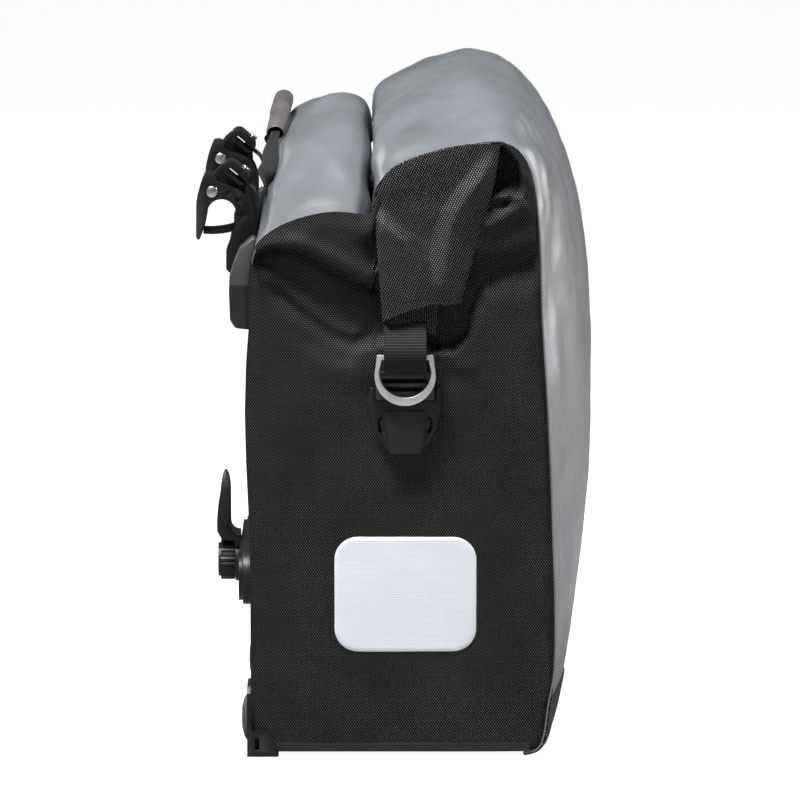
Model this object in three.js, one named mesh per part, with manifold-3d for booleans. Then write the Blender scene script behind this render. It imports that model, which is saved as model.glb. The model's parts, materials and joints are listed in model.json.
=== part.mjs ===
// A roll-top bicycle pannier with quick-release hooks, in millimetres.
//
// +Z is up, +X points to the outer face of the bag and -X to the bicycle's rack. The width runs along Y, with
// the "left" pieces at -Y and the "right" ones at +Y. The origin is at the middle of the base, on the ground.

import * as THREE from "three";
import { mergeVertices } from "three/addons/utils/BufferGeometryUtils.js";
import Module from "manifold-3d";

const wasm = await Module();
wasm.setup();

// ---------------------------------------------------------------- driving dimensions

const GAP = 0.3; // between pieces that touch
const BACK = -85.6; // outer face of the back panel
const FRONT = 87.4; // the front panel's side seams
const BULGE = 118.4; // furthest point of the filled front panel
const HEIGHT = 411.5; // top of the roll
const FABRIC = 2; // coated fabric, with its welds
const HALF_BASE = 115; // half the width at the base
const FLARE = 40 / 330; // the sides lean out by this much per unit of height
const SHOULDER = 290; // height where the back panel starts to curve in
const HALF_SHOULDER = HALF_BASE + FLARE * SHOULDER;
const HEM = 3; // the panels end this far above the ground
const DROOP_SPAN = 155; // the closure droops towards its ends, as the square of y over this
const ROLL_DROOP = 38.5; // how far the roll's ends hang below its middle
const ROLL_HALF = 149; // half the roll's length
const ROLL_BASE = 346; // underside of the roll at its middle

const HOOK_Y = 95; // the rack hooks sit this far each side of the middle
const JAW = { x: BACK - 17.6, z: 324.4, r: 8.6 }; // centre and radius of each hook's jaw
const PIN = { u: -5.6, w: 13.1, r: 2 }; // the lever's pin, measured from the jaw's centre
const HOOK_WIDTH = 22;
const LEVER_SLOT = 6.8; // gap between the two cheeks of a hook
const LEVER_PLATE = 6;
const LEVER_HUB = 5.2;
const BLOCK = { u: 8.6, w: 24.2, length: 17, height: 9, width: 18, tilt: THREE.MathUtils.degToRad(-40) };
const WEBBING = 15; // width of the handle's webbing
const WEB_THICK = 1.5;

const RAIL = { z: 275, height: 26, front: BACK - 9, half: 125.7 };
const LOW_RAIL = { z: 100, height: 34, front: BACK - 9, half: 80, slot: 60 };
const TEE = { mouth: 7, nut: 12.4, inner: BACK - 2.8, lip: BACK - 6.2 }; // the T-slot of both rails
const SCREW = { shank: 2, hole: 2.4, head: 4.2 };
const TOP_SCREW_Y = 45;
const LOW_SCREW_Y = 70;

const BUCKLE_X = 5.4; // middle of each side's closure strap and buckle
const BUCKLE_WEB = 25;
const REFLECTOR = { x: 5.6, v: 101, width: 84, height: 71, corner: 14, thick: 0.6 };

const ROUND = 16; // sides of a small cylinder

// ---------------------------------------------------------------- colours

const finish = (color, roughness, metalness = 0) =>
  new THREE.MeshStandardMaterial({ color, roughness, metalness });
const GREY_TARPAULIN = finish(0x8f979d, 0.45);
const BLACK_WEAVE = finish(0x1c1c1e, 0.8);
const BLACK_WEBBING = finish(0x161616, 0.85);
const BLACK_PLASTIC = finish(0x1d1d1f, 0.5);
const GREY_RUBBER = finish(0x55525a, 0.6);
const STIFF_SHEET = finish(0x222222, 0.5);
const STEEL = finish(0xc9cccf, 0.3, 1);
const ALUMINIUM = finish(0xd5d5d5, 0.45, 1);
const REFLECTIVE = finish(0xe9edf2, 0.35);

// ---------------------------------------------------------------- solids: making, joining and cutting

// A closed solid of manifold-3d from a geometry, with only its positions kept.
function solidOf(geometry) {
  const bare = (geometry.index ? geometry.toNonIndexed() : geometry.clone());
  bare.deleteAttribute("normal");
  bare.deleteAttribute("uv");
  const merged = mergeVertices(bare, 1e-4);
  const vertProperties = new Float32Array(merged.attributes.position.array);
  const triVerts = new Uint32Array(merged.index.array);
  return new wasm.Manifold(new wasm.Mesh({ numProp: 3, vertProperties, triVerts }));
}

function geometryOf(solid) {
  const mesh = solid.getMesh();
  const position = new Float32Array(mesh.numVert * 3);
  for (let i = 0; i < mesh.numVert; i++) {
    const from = i * mesh.numProp;
    position.set(mesh.vertProperties.subarray(from, from + 3), i * 3);
  }
  const geometry = new THREE.BufferGeometry();
  geometry.setAttribute("position", new THREE.BufferAttribute(position, 3));
  geometry.setIndex(new THREE.BufferAttribute(new Uint32Array(mesh.triVerts), 1));
  geometry.computeVertexNormals();
  return geometry;
}

const join = (first, ...others) => geometryOf(others.reduce((sum, g) => sum.add(solidOf(g)), solidOf(first)));
const cut = (first, ...others) =>
  geometryOf(others.reduce((rest, g) => rest.subtract(solidOf(g)), solidOf(first)));
const common = (a, b) => geometryOf(solidOf(a).intersect(solidOf(b)));

// A geometry from points and triangles, turned so that its faces point out.
function closed(points, triangles) {
  const six = triangles.reduce((sum, [a, b, c]) => {
    const normal = new THREE.Vector3().crossVectors(points[b], points[c]);
    return sum + points[a].dot(normal);
  }, 0);
  const facing = six < 0 ? triangles.map(([a, b, c]) => [a, c, b]) : triangles;
  const geometry = new THREE.BufferGeometry().setFromPoints(points);
  geometry.setIndex(facing.flat());
  geometry.computeVertexNormals();
  return geometry;
}

const pointsOf = (geometry) => {
  const p = geometry.attributes.position;
  return Array.from({ length: p.count }, (_, i) => new THREE.Vector3().fromBufferAttribute(p, i));
};
const trianglesOf = (geometry) => {
  const count = (geometry.index ?? geometry.attributes.position).count;
  const index = geometry.index ? geometry.index.array : Array.from({ length: count }, (_, i) => i);
  return Array.from({ length: count / 3 }, (_, i) => [index[3 * i], index[3 * i + 1], index[3 * i + 2]]);
};

const at = (x, y, z) => new THREE.Vector3(x, y, z);
const outline = (points) => new THREE.Shape(points.map(([x, y]) => new THREE.Vector2(x, y)));

// An outline in the XZ plane, extruded along Y to both sides of y.
function alongY(shape, width, y = 0, options = {}) {
  const settings = { depth: width, bevelEnabled: false, curveSegments: 6, ...options };
  const geometry = new THREE.ExtrudeGeometry(shape, settings);
  return geometry.rotateX(Math.PI / 2).translate(0, y + width / 2, 0);
}

// An outline in the YZ plane, extruded along X from x0 to x1.
function alongX(shape, x0, x1, options = {}) {
  const settings = { depth: x1 - x0, bevelEnabled: false, curveSegments: 6, ...options };
  const geometry = new THREE.ExtrudeGeometry(shape, settings);
  const turn = new THREE.Matrix4().makeBasis(at(0, 1, 0), at(0, 0, 1), at(1, 0, 0));
  return geometry.applyMatrix4(turn).translate(x0, 0, 0);
}

const box = (x0, x1, y0, y1, z0, z1) =>
  new THREE.BoxGeometry(x1 - x0, y1 - y0, z1 - z0).translate((x0 + x1) / 2, (y0 + y1) / 2, (z0 + z1) / 2);

// A profile of [radius, distance] pairs, from axis to axis, turned about the X axis through (y, z).
function turnedAboutX(profile, y, z, sides = ROUND) {
  const points = profile.map(([radius, along]) => new THREE.Vector2(radius, along));
  return new THREE.LatheGeometry(points, sides).rotateZ(-Math.PI / 2).translate(0, y, z);
}

// The same about the Y axis through (x, z).
function turnedAboutY(profile, x, z, sides = ROUND) {
  const points = profile.map(([radius, along]) => new THREE.Vector2(radius, along));
  return new THREE.LatheGeometry(points, sides).translate(x, 0, z);
}

const rodX = (radius, x0, x1, y, z) => turnedAboutX([[0, x0], [radius, x0], [radius, x1], [0, x1]], y, z);
const rodY = (radius, y0, y1, x, z, sides = ROUND) =>
  turnedAboutY([[0, y0], [radius, y0], [radius, y1], [0, y1]], x, z, sides);

// Rings of equal numbers of points, skinned one after another and capped at both ends.
function loft(rings) {
  const count = rings[0].length;
  const points = rings.flat();
  const triangles = [];
  for (let r = 0; r + 1 < rings.length; r++)
    for (let i = 0; i < count; i++) {
      const a = r * count + i;
      const b = r * count + ((i + 1) % count);
      triangles.push([a, b, a + count], [b, b + count, a + count]);
    }
  const cap = (ring, start, flip) => {
    const axis = new THREE.Vector3().subVectors(rings.at(-1)[0], rings[0][0]);
    const flat = Math.abs(axis.y) > Math.abs(axis.z) ? (p) => [p.x, p.z] : (p) => [p.x, p.y];
    const contour = ring.map((p) => new THREE.Vector2(...flat(p)));
    const turned = THREE.ShapeUtils.isClockWise(contour);
    const order = turned ? contour.map((_, i) => count - 1 - i) : contour.map((_, i) => i);
    for (const face of THREE.ShapeUtils.triangulateShape(order.map((i) => contour[i]), [])) {
      const [a, b, c] = face.map((i) => start + order[i]);
      triangles.push(turned === flip ? [a, b, c] : [a, c, b]);
    }
  };
  cap(rings[0], 0, false);
  cap(rings.at(-1), (rings.length - 1) * count, true);
  return orient(points, triangles);
}

// Triangles of a closed skin, made to agree with each other by walking from face to face.
function orient(points, triangles) {
  const byEdge = new Map();
  const key = (a, b) => (a < b ? `${a},${b}` : `${b},${a}`);
  triangles.forEach((t, i) => {
    for (let k = 0; k < 3; k++) {
      const edge = key(t[k], t[(k + 1) % 3]);
      byEdge.set(edge, [...(byEdge.get(edge) ?? []), i]);
    }
  });
  const done = new Set([0]);
  const queue = [0];
  while (queue.length) {
    const i = queue.pop();
    const t = triangles[i];
    for (let k = 0; k < 3; k++) {
      const [a, b] = [t[k], t[(k + 1) % 3]];
      for (const j of byEdge.get(key(a, b))) {
        if (done.has(j)) continue;
        const other = triangles[j];
        const same = [0, 1, 2].some((m) => other[m] === a && other[(m + 1) % 3] === b);
        if (same) triangles[j] = [other[0], other[2], other[1]];
        done.add(j);
        queue.push(j);
      }
    }
  }
  return closed(points, triangles);
}

// A thin closed sheet between an outer and an inner surface, each given on the same grid.
function sheet(columns, rows, outer, inner) {
  const width = columns + 1;
  const grid = (surface) => {
    const points = [];
    for (let j = 0; j <= rows; j++) {
      for (let i = 0; i <= columns; i++) points.push(surface(i / columns, j / rows));
    }
    return points;
  };
  const points = [...grid(outer), ...grid(inner)];
  const under = width * (rows + 1);
  const triangles = [];
  const quad = (a, b, c, d) => triangles.push([a, b, c], [a, c, d]);
  for (let j = 0; j < rows; j++)
    for (let i = 0; i < columns; i++) {
      const a = j * width + i;
      quad(a, a + 1, a + width + 1, a + width);
      quad(under + a, under + a + width, under + a + width + 1, under + a + 1);
    }
  const rim = [];
  for (let i = 0; i < columns; i++) rim.push(i);
  for (let j = 0; j < rows; j++) rim.push(j * width + columns);
  for (let i = columns; i > 0; i--) rim.push(rows * width + i);
  for (let j = rows; j > 0; j--) rim.push(j * width);
  rim.forEach((a, i) => {
    const b = rim[(i + 1) % rim.length];
    quad(b, a, under + a, under + b);
  });
  return orient(points, triangles);
}

// A flat strap along a path. across(t, tangent) gives the direction of its width at each step.
function ribbon(path, steps, across, width, thickness) {
  const rings = [];
  for (let i = 0; i <= steps; i++) {
    const t = i / steps;
    const centre = path.getPoint(t);
    const tangent = path.getTangent(t);
    const side = across(t, tangent).normalize().multiplyScalar(width(t) / 2);
    const face = new THREE.Vector3().crossVectors(side, tangent).normalize().multiplyScalar(thickness(t) / 2);
    rings.push([
      centre.clone().add(side).add(face),
      centre.clone().sub(side).add(face),
      centre.clone().sub(side).sub(face),
      centre.clone().add(side).sub(face),
    ]);
  }
  const triangles = [];
  const quad = (a, b, c, d) => triangles.push([a, b, c], [a, c, d]);
  for (let r = 0; r < steps; r++)
    for (let i = 0; i < 4; i++) {
      const next = (i + 1) % 4;
      quad(4 * r + i, 4 * r + next, 4 * r + 4 + next, 4 * r + 4 + i);
    }
  quad(0, 3, 2, 1);
  quad(4 * steps, 4 * steps + 1, 4 * steps + 2, 4 * steps + 3);
  return orient(rings.flat(), triangles);
}

const pannier = new THREE.Group();

function add(group, name, geometry, material) {
  const mesh = new THREE.Mesh(geometry, material);
  mesh.name = name;
  group.add(mesh);
  return mesh;
}

// ---------------------------------------------------------------- the bag

const halfWidth = (z) => HALF_BASE + FLARE * Math.min(z, SHOULDER);
const droop = (y) => (y / DROOP_SPAN) ** 2;

// Side profile of the back panel's curved top at the middle of the bag: [x, z].
const backTop = new THREE.SplineCurve(
  [
    [BACK, SHOULDER], [-77.6, 324], [-67.6, 367], [-52.6, 381], [-35.6, 386], [-19.6, 383], [-13.6, 374.5],
  ].map(([x, z]) => new THREE.Vector2(x, z)),
);
const BACK_END_DROP = 0.57; // share of the curved top's height that is lost at its ends

function backPoint(u, v, inset) {
  const straight = 0.4; // share of the grid's rows on the straight part
  const y = 2 * u - 1;
  if (v <= straight) {
    const z = HEM + ((SHOULDER - HEM) * v) / straight;
    return at(BACK + inset, y * halfWidth(z), z);
  }
  const t = (v - straight) / (1 - straight);
  const p = backTop.getPoint(t);
  const along = backTop.getTangent(t);
  const across = y * HALF_SHOULDER;
  const lift = 1 - BACK_END_DROP * droop(across);
  const x = p.x + along.y * inset;
  const z = p.y - along.x * inset;
  return at(x, across, SHOULDER + (z - SHOULDER) * lift);
}

const screwPlaces = [
  [-TOP_SCREW_Y, RAIL.z],
  [TOP_SCREW_Y, RAIL.z],
  [-LOW_SCREW_Y, LOW_RAIL.z],
  [LOW_SCREW_Y, LOW_RAIL.z],
];
const screwHoles = (x0, x1) => screwPlaces.map(([y, z]) => rodX(SCREW.hole, x0, x1, y, z));

function backPanel() {
  const whole = sheet(10, 15, (u, v) => backPoint(u, v, 0), (u, v) => backPoint(u, v, FABRIC));
  return cut(whole, ...screwHoles(BACK - 1, BACK + 3));
}

// How far out the front panel's middle stands, by height.
const frontMiddle = new THREE.SplineCurve(
  [[HEM, 92], [56, 104.4], [120, 113], [215, BULGE], [290, 115.4], [ROLL_BASE, 106]].map(
    ([z, x]) => new THREE.Vector2(z, x),
  ),
);

function frontPoint(u, v, inset) {
  const y = 2 * u - 1;
  const p = frontMiddle.getPoint(v);
  const across = y * halfWidth(p.x);
  const top = ROLL_BASE - GAP - ROLL_DROOP * droop(across);
  const z = HEM + ((p.x - HEM) * (top - HEM)) / (ROLL_BASE - HEM);
  const out = (p.y - FRONT) * (1 - y * y);
  return at(FRONT + out - inset, across, z);
}

const frontPanel = () => sheet(10, 14, (u, v) => frontPoint(u, v, 0), (u, v) => frontPoint(u, v, FABRIC));

// The bottom sags to the ground under the load.
function bottomPanel() {
  const x0 = BACK + FABRIC + GAP;
  const x1 = FRONT - FABRIC - GAP;
  const half = HALF_BASE - FABRIC - GAP;
  const sag = 4.4;
  const place = (u, v) => [x0 + (x1 - x0) * u, half * (2 * v - 1)];
  const under = (u, v) => {
    const [x, y] = place(u, v);
    const bump = (16 * u * (1 - u) * v * (1 - v)) ** 1.5;
    return at(x, y, Math.max(0, HEM - sag * bump));
  };
  const above = (u, v) => {
    const [x, y] = place(u, v);
    return at(x, y, HEM + FABRIC);
  };
  return sheet(8, 8, above, under);
}

// Section of the rolled closure at its middle: [x, z].
const ROLL_SECTION = [
  [-12.6, 374.5], [-11, 389], [2.4, 398], [26.8, 408], [51.2, HEIGHT], [66.4, 406], [81.7, 392.5],
  [97, 367.5], [104, 351.5], [102, ROLL_BASE], [50, ROLL_BASE], [0, ROLL_BASE],
];
const ROLL_PULL_IN = 0.12; // the roll's ends are this much narrower
const STRIP_HEIGHT = 379; // middle of the stiff strip inside the roll

const stripPath = new THREE.CatmullRomCurve3(
  [-160, -120, -60, 0, 60, 120, 160].map((y) => at(45, y, STRIP_HEIGHT - ROLL_DROOP * droop(y))),
);
const alongDepth = () => at(1, 0, 0);

function rollTop() {
  const rings = [];
  const sections = 12;
  for (let i = 0; i <= sections; i++) {
    const y = ROLL_HALF * ((2 * i) / sections - 1);
    const q = droop(y);
    rings.push(ROLL_SECTION.map(([x, z]) => at(x * (1 - ROLL_PULL_IN * q), y, z - ROLL_DROOP * q)));
  }
  const slot = ribbon(stripPath, 12, alongDepth, () => 36, () => 2.4);
  return cut(loft(rings), slot);
}

// The stiff strip welded along the mouth, inside the roll.
function mouthStiffener() {
  const half = ROLL_HALF - 2;
  const path = new THREE.CatmullRomCurve3(
    [-half, -100, -50, 0, 50, 100, half].map((y) => at(45, y, STRIP_HEIGHT - ROLL_DROOP * droop(y))),
  );
  return ribbon(path, 10, alongDepth, () => 34, () => 1.2);
}

function backStiffener() {
  const shape = outline([[-108, 12], [108, 12], [140, 282], [-140, 282]]);
  const plate = alongX(shape, BACK + FABRIC + GAP, BACK + FABRIC + GAP + 1.8);
  return cut(plate, ...screwHoles(BACK, BACK + 6));
}

add(pannier, "front_panel", frontPanel(), GREY_TARPAULIN);
add(pannier, "back_panel", backPanel(), GREY_TARPAULIN);
add(pannier, "bottom_panel", bottomPanel(), BLACK_WEAVE);
add(pannier, "roll_top", rollTop(), GREY_TARPAULIN);
add(pannier, "mouth_stiffener", mouthStiffener(), STIFF_SHEET);
add(pannier, "back_stiffener", backStiffener(), STIFF_SHEET);

// ---------------------------------------------------------------- each side: panel, roll end, buckle, film

// A side is modelled in its own upright plane, outwards being -Y, and is then leant out and put in place.
const LEAN = Math.atan(FLARE);
const up = (z) => z / Math.cos(LEAN);

function sidePanel() {
  const x0 = BACK + FABRIC + GAP;
  const x1 = FRONT - FABRIC - GAP;
  const top = [
    [x1, 300], [x1, 334], [78, 356], [60, 361], [22, 355], [2, 344], [-13, 327], [-20, 328.5], [-35.6, 329.5],
    [-50, 327.5], [-62, 320], [-72, 301], [x0, 284],
  ];
  const shape = outline([[x0, HEM], [x1, HEM], ...top].map(([x, z]) => [x, up(z)]));
  return alongY(shape, FABRIC, FABRIC / 2);
}

// The flattened end of the roll, folded down over the side.
function rollEnd() {
  const points = [
    [-14, 333.8], [-4.6, 267], [8.3, 272.8], [40.4, 277.6], [46.4, 307], [55.1, 336.8], [63.9, 362],
    [49.3, 372.3], [25.8, 366.4], [2.4, 357.5],
  ];
  const thick = 7.7;
  const fold = alongY(outline(points.map(([x, z]) => [x, up(z)])), thick, -GAP - thick / 2);
  const half = BUCKLE_WEB / 2 + 0.6;
  const strapRoom = box(BUCKLE_X - half, BUCKLE_X + half, -4.8, 1, 260, 282);
  return cut(fold, strapRoom);
}

// Webbing from the roll's end, over the ring's bar and down into the buckle plug.
function closureStrap() {
  const route = [
    [1.6, 281], [1.7, 273], [5.4, 263], [11, 255.6], [12.8, 251], [12.8, 246.4], [10.4, 241], [6, 238.9],
  ];
  const path = new THREE.CatmullRomCurve3(route.map(([out, v]) => at(BUCKLE_X, -out, v)));
  return ribbon(path, 12, alongDepth, () => BUCKLE_WEB, () => WEB_THICK);
}

// The ring that takes the shoulder strap's hook: a flat D that hangs plumb from its straight bar.
const RING = { top: 249.6, bar: 2.8, half: 18, side: 2.6, foot: 4.6, bottom: 219.6, near: 8.8, thick: 2.4 };

function dRing() {
  const curve = (half, low, high) => {
    const shape = new THREE.Path();
    const shoulder = low + half;
    shape.moveTo(-half + 1.5, high);
    shape.lineTo(-half, shoulder);
    shape.absellipse(0, shoulder, half, shoulder - low, Math.PI, 2 * Math.PI, false);
    shape.lineTo(half - 1.5, high);
    return shape.getPoints(12).map((p) => new THREE.Vector2(p.x, p.y));
  };
  const shape = new THREE.Shape(curve(RING.half, RING.bottom, RING.top));
  const opening = curve(RING.half - RING.side, RING.bottom + RING.foot, RING.top - RING.bar);
  shape.holes.push(new THREE.Path(opening));
  const [out, pivot] = [RING.near + RING.thick / 2, RING.top - RING.bar / 2];
  const ring = alongY(shape, RING.thick).translate(BUCKLE_X, 0, -pivot);
  return ring.rotateX(-LEAN).translate(0, -out, pivot);
}

// Side-release buckle. The plug's frame holds the webbing, and its prongs stand in the socket's pocket.
const PLUG = { half: 17.3, low: 221.4, top: 238, near: 1.5, face: 6.8, prong: 201.5 };

function bucklePlug() {
  const { half, low, top, near, face, prong } = PLUG;
  const frame = alongY(
    outline([[-half, low], [half, low], [half, top - 3], [half - 3, top], [3 - half, top], [-half, top - 3]]),
    face - near,
    -(near + face) / 2,
  );
  const slots = [[226.5, 229.3], [231.6, 234.4]].map(([v0, v1]) => box(-13.2, 13.2, -9, 0, v0, v1));
  const tongue = box(-2.6, 2.6, -4.6, -2.4, prong, low + 1);
  const arm = outline([
    [9.6, low + 1], [9, 210], [10, prong], [13.6, prong], [15.2, 208], [12.6, 211], [12.8, low + 1],
  ]);
  const right = alongY(arm, 2.2, -3.5);
  const left = right.clone().applyMatrix4(new THREE.Matrix4().makeScale(-1, 1, 1));
  const mirrored = closed(pointsOf(left), trianglesOf(left));
  return join(cut(frame, ...slots), tongue, right, mirrored).translate(BUCKLE_X, 0, 0);
}

function buckleSocket() {
  const side = [[9, 190], [14, 195], [18.6, 204], [21, 217], [20.6, 228], [18.3, 228], [17.8, 221]];
  const shell = outline([...side, ...side.toReversed().map(([u, v]) => [-u, v])]);
  const body = alongY(shell, 6.2, -GAP - 3.1);
  const pocket = box(-16, 16, -5, -2, 197.5, 222);
  const raised = alongY(outline([[-9, 189.4], [9, 189.4], [11.8, 214.5], [-11.8, 214.5]]), 3, -7.7);
  const window = new THREE.Shape().absellipse(0, 206, 2.2, 5, 0, 2 * Math.PI);
  const windows = [-14, 14].map((u) => alongY(window, 4, -6.5).translate(u, 0, 0));
  return cut(join(body, raised), pocket, ...windows).translate(BUCKLE_X, 0, 0);
}

function reflector() {
  const { x, v, width, height, corner, thick } = REFLECTOR;
  const [w, h] = [width / 2, height / 2];
  const shape = new THREE.Shape();
  shape.moveTo(-w + corner, -h);
  shape.lineTo(w - corner, -h);
  shape.absarc(w - corner, corner - h, corner, -Math.PI / 2, 0);
  shape.lineTo(w, h - corner);
  shape.absarc(w - corner, h - corner, corner, 0, Math.PI / 2);
  shape.lineTo(-w + corner, h);
  shape.absarc(-w + corner, h - corner, corner, Math.PI / 2, Math.PI);
  shape.lineTo(-w, corner - h);
  shape.absarc(-w + corner, corner - h, corner, Math.PI, 1.5 * Math.PI);
  return alongY(shape, thick, -GAP - thick / 2, { curveSegments: 4 }).translate(x, 0, v);
}

for (const [side, mirror] of [["left", 1], ["right", -1]]) {
  const leant = new THREE.Group();
  leant.rotation.x = LEAN;
  leant.position.y = -HALF_BASE;
  const group = new THREE.Group();
  group.scale.y = mirror;
  group.add(leant);
  pannier.add(group);
  add(leant, `${side}_side_panel`, sidePanel(), BLACK_WEAVE);
  add(leant, `${side}_roll_end`, rollEnd(), BLACK_WEAVE);
  add(leant, `${side}_closure_strap`, closureStrap(), BLACK_WEBBING);
  add(leant, `${side}_d_ring`, dRing(), ALUMINIUM);
  add(leant, `${side}_buckle_plug`, bucklePlug(), BLACK_PLASTIC);
  add(leant, `${side}_buckle_socket`, buckleSocket(), BLACK_PLASTIC);
  add(leant, `${side}_reflector`, reflector(), REFLECTIVE);
}

// ---------------------------------------------------------------- top rail, and the hooks for the rack

// A rail's T-slot: a narrow mouth in front of a wider channel for the nut.
const teeSlot = (front, half, z) => [
  box(front - 1, TEE.inner - 1, -half, half, z - TEE.mouth / 2, z + TEE.mouth / 2),
  box(TEE.lip, TEE.inner, -half, half, z - TEE.nut / 2 - GAP, z + TEE.nut / 2 + GAP),
];

function topRail() {
  const { z, height, front, half } = RAIL;
  const bar = box(front, BACK - GAP, -half, half, z - height / 2, z + height / 2);
  const holes = [-TOP_SCREW_Y, TOP_SCREW_Y].map((y) => rodX(SCREW.hole, BACK - 4, BACK, y, z));
  return cut(bar, ...teeSlot(front, half + 1, z), ...holes);
}

// The rail's end stop, with a smooth hood that rises behind the hook.
function railCap() {
  const shape = outline([
    [BACK - GAP, 259.5], [BACK - GAP, 291], [-83.4, 303], [-82, 313.5], [-84.5, 314.5], [-92, 307.5],
    [-95.6, 298.5], [-97.9, 290.8], [-98.2, 281.8], [-97.6, 265], [-94.4, 260.4],
  ]);
  return alongY(shape, 15, -RAIL.half - GAP - 7.5);
}

// A screw along X whose head's outer face is at x0 and whose tip is at x1.
function screw(y, z, x0, x1, headDepth, head = SCREW.head) {
  const under = x0 + headDepth;
  const cap = [[0, x0], [head - 0.6, x0], [head, x0 + 0.6], [head, under]];
  const shank = [[SCREW.shank, under], [SCREW.shank, x1], [0, x1]];
  return turnedAboutX([...cap, ...shank], y, z);
}

// Outline of a hook, measured from its jaw's centre: stem, arch over the rack's tube, and outer fin.
function hookOutline() {
  const shape = new THREE.Shape();
  shape.moveTo(16.8, -62);
  shape.lineTo(16.8, -34.2);
  shape.lineTo(16.8, -14);
  shape.quadraticCurveTo(18.6, -6, 17.4, 2);
  shape.quadraticCurveTo(15.5, 12.5, 7.5, 15.2);
  shape.lineTo(1.5, 17);
  shape.lineTo(-2.5, 18.2);
  shape.lineTo(-4.6, 22.6);
  shape.quadraticCurveTo(-7, 24.4, -10.2, 23);
  shape.quadraticCurveTo(-14.6, 13, -15, 5);
  shape.lineTo(-15.2, -13.8);
  shape.lineTo(-14.2, -15.6);
  shape.lineTo(-13, -15.2);
  shape.lineTo(-11.4, -11.4);
  shape.lineTo(-9.7, -6.4);
  shape.lineTo(-JAW.r, 0);
  shape.absarc(0, 0, JAW.r, Math.PI, -0.26, true);
  shape.quadraticCurveTo(8, -8, 5.4, -12.4);
  shape.lineTo(4.6, -17);
  shape.lineTo(2.6, -22);
  shape.lineTo(2.6, -33);
  shape.lineTo(5.3, -36);
  shape.lineTo(5.3, -61);
  shape.lineTo(6.3, -62);
  return shape;
}

function hookBody() {
  const whole = alongY(hookOutline(), HOOK_WIDTH, 0, { curveSegments: 8 });
  const railRoom = box(RAIL.front - JAW.x - GAP, 20, -20, 20, -70, RAIL.z + RAIL.height / 2 + GAP - JAW.z);
  const leverRoom = box(-11.6, 30, -LEVER_SLOT / 2, LEVER_SLOT / 2, -16, 30);
  const pinHole = rodY(PIN.r + GAP, -20, 20, PIN.u, PIN.w);
  const screwHole = rodX(SCREW.hole, -5, 15, 0, RAIL.z - JAW.z);
  const headRoom = rodX(SCREW.head + GAP, 0, 6.6, 0, RAIL.z - JAW.z);
  const pockets = [[4.2, 12.4, 1.7], [10.4, 8.2, 2], [13.4, -0.6, 2.4]].flatMap(([u, w, r]) =>
    [-1, 1].map((s) => rodY(r, s * (HOOK_WIDTH / 2) - 0.8, s * (HOOK_WIDTH / 2) + 0.8, u, w, 8)),
  );
  return cut(whole, railRoom, leverRoom, pinHole, screwHole, headRoom, ...pockets);
}

// The locking lever: hub, an arm round the jaw, a finger under the tube, and a block for the webbing.
function lever() {
  const hub = rodY(LEVER_HUB, -LEVER_PLATE / 2, LEVER_PLATE / 2, PIN.u, PIN.w);
  const arm = new THREE.Shape();
  arm.absarc(0, 0, 13.6, 1.95, -0.75, true);
  arm.absarc(0, 0, 10.2, -0.75, 1.95, false);
  const finger = new THREE.Shape();
  finger.moveTo(-11, -8.6);
  finger.quadraticCurveTo(-2, -9.6, 8.4, -6.2);
  finger.lineTo(12.4, -5.4);
  finger.quadraticCurveTo(11.4, -9.4, 7.6, -11.2);
  finger.quadraticCurveTo(-2, -13.8, -11, -12.8);
  const neck = outline([
    [-7.5, 14], [-7.2, 20], [-2.6, 26], [1, 29], [8, 24], [14, 17.5], [14.5, 8], [8, 8], [-2, 12],
  ]);
  const plates = [arm, finger, neck].map((shape) => alongY(shape, LEVER_PLATE, 0, { curveSegments: 8 }));
  const solid = join(hub, ...plates, webbingBlock());
  const bore = rodY(PIN.r + GAP, -10, 10, PIN.u, PIN.w);
  const springRoom = rodY(4.3, 0.9, 10, PIN.u, PIN.w);
  return cut(solid, bore, springRoom, blockSlot(), blockScrewHole());
}

// The block is made level and then tilted about its centre.
const tilted = (geometry) => geometry.rotateY(-BLOCK.tilt).translate(BLOCK.u, 0, BLOCK.w);

function webbingBlock() {
  const [l, h] = [BLOCK.length / 2, BLOCK.height / 2];
  const shape = new THREE.Shape();
  shape.moveTo(-l + h, -h);
  shape.lineTo(l - 2, -h);
  shape.lineTo(l, -h + 2);
  shape.lineTo(l, h - 3);
  shape.lineTo(l - 3, h);
  shape.lineTo(-l + h, h);
  shape.absarc(-l + h, 0, h, Math.PI / 2, 1.5 * Math.PI, false);
  return tilted(alongY(shape, BLOCK.width, 0, { curveSegments: 8 }));
}

const SLOT_DROP = -1.2; // the webbing's slot lies this far below the block's middle
const blockSlot = () => tilted(box(-4.5, 12, -10, 10, SLOT_DROP - 1.1, SLOT_DROP + 1.1));
const BLOCK_SCREW_X = 3.4; // from the block's middle
const blockScrewHole = () => {
  const hole = new THREE.CylinderGeometry(1.6, 1.6, 20, 10).rotateX(Math.PI / 2);
  return tilted(hole.translate(BLOCK_SCREW_X, 0, 7));
};

function strapScrew() {
  const top = BLOCK.height / 2 + GAP;
  const points = [[0, -2.6], [1.25, -2.6], [1.25, top], [2.9, top], [2.6, top + 1.3], [0, top + 1.3]];
  const lathe = new THREE.LatheGeometry(points.map(([r, z]) => new THREE.Vector2(r, z)), 14);
  return tilted(lathe.rotateX(Math.PI / 2).translate(BLOCK_SCREW_X, 0, 0));
}

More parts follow.
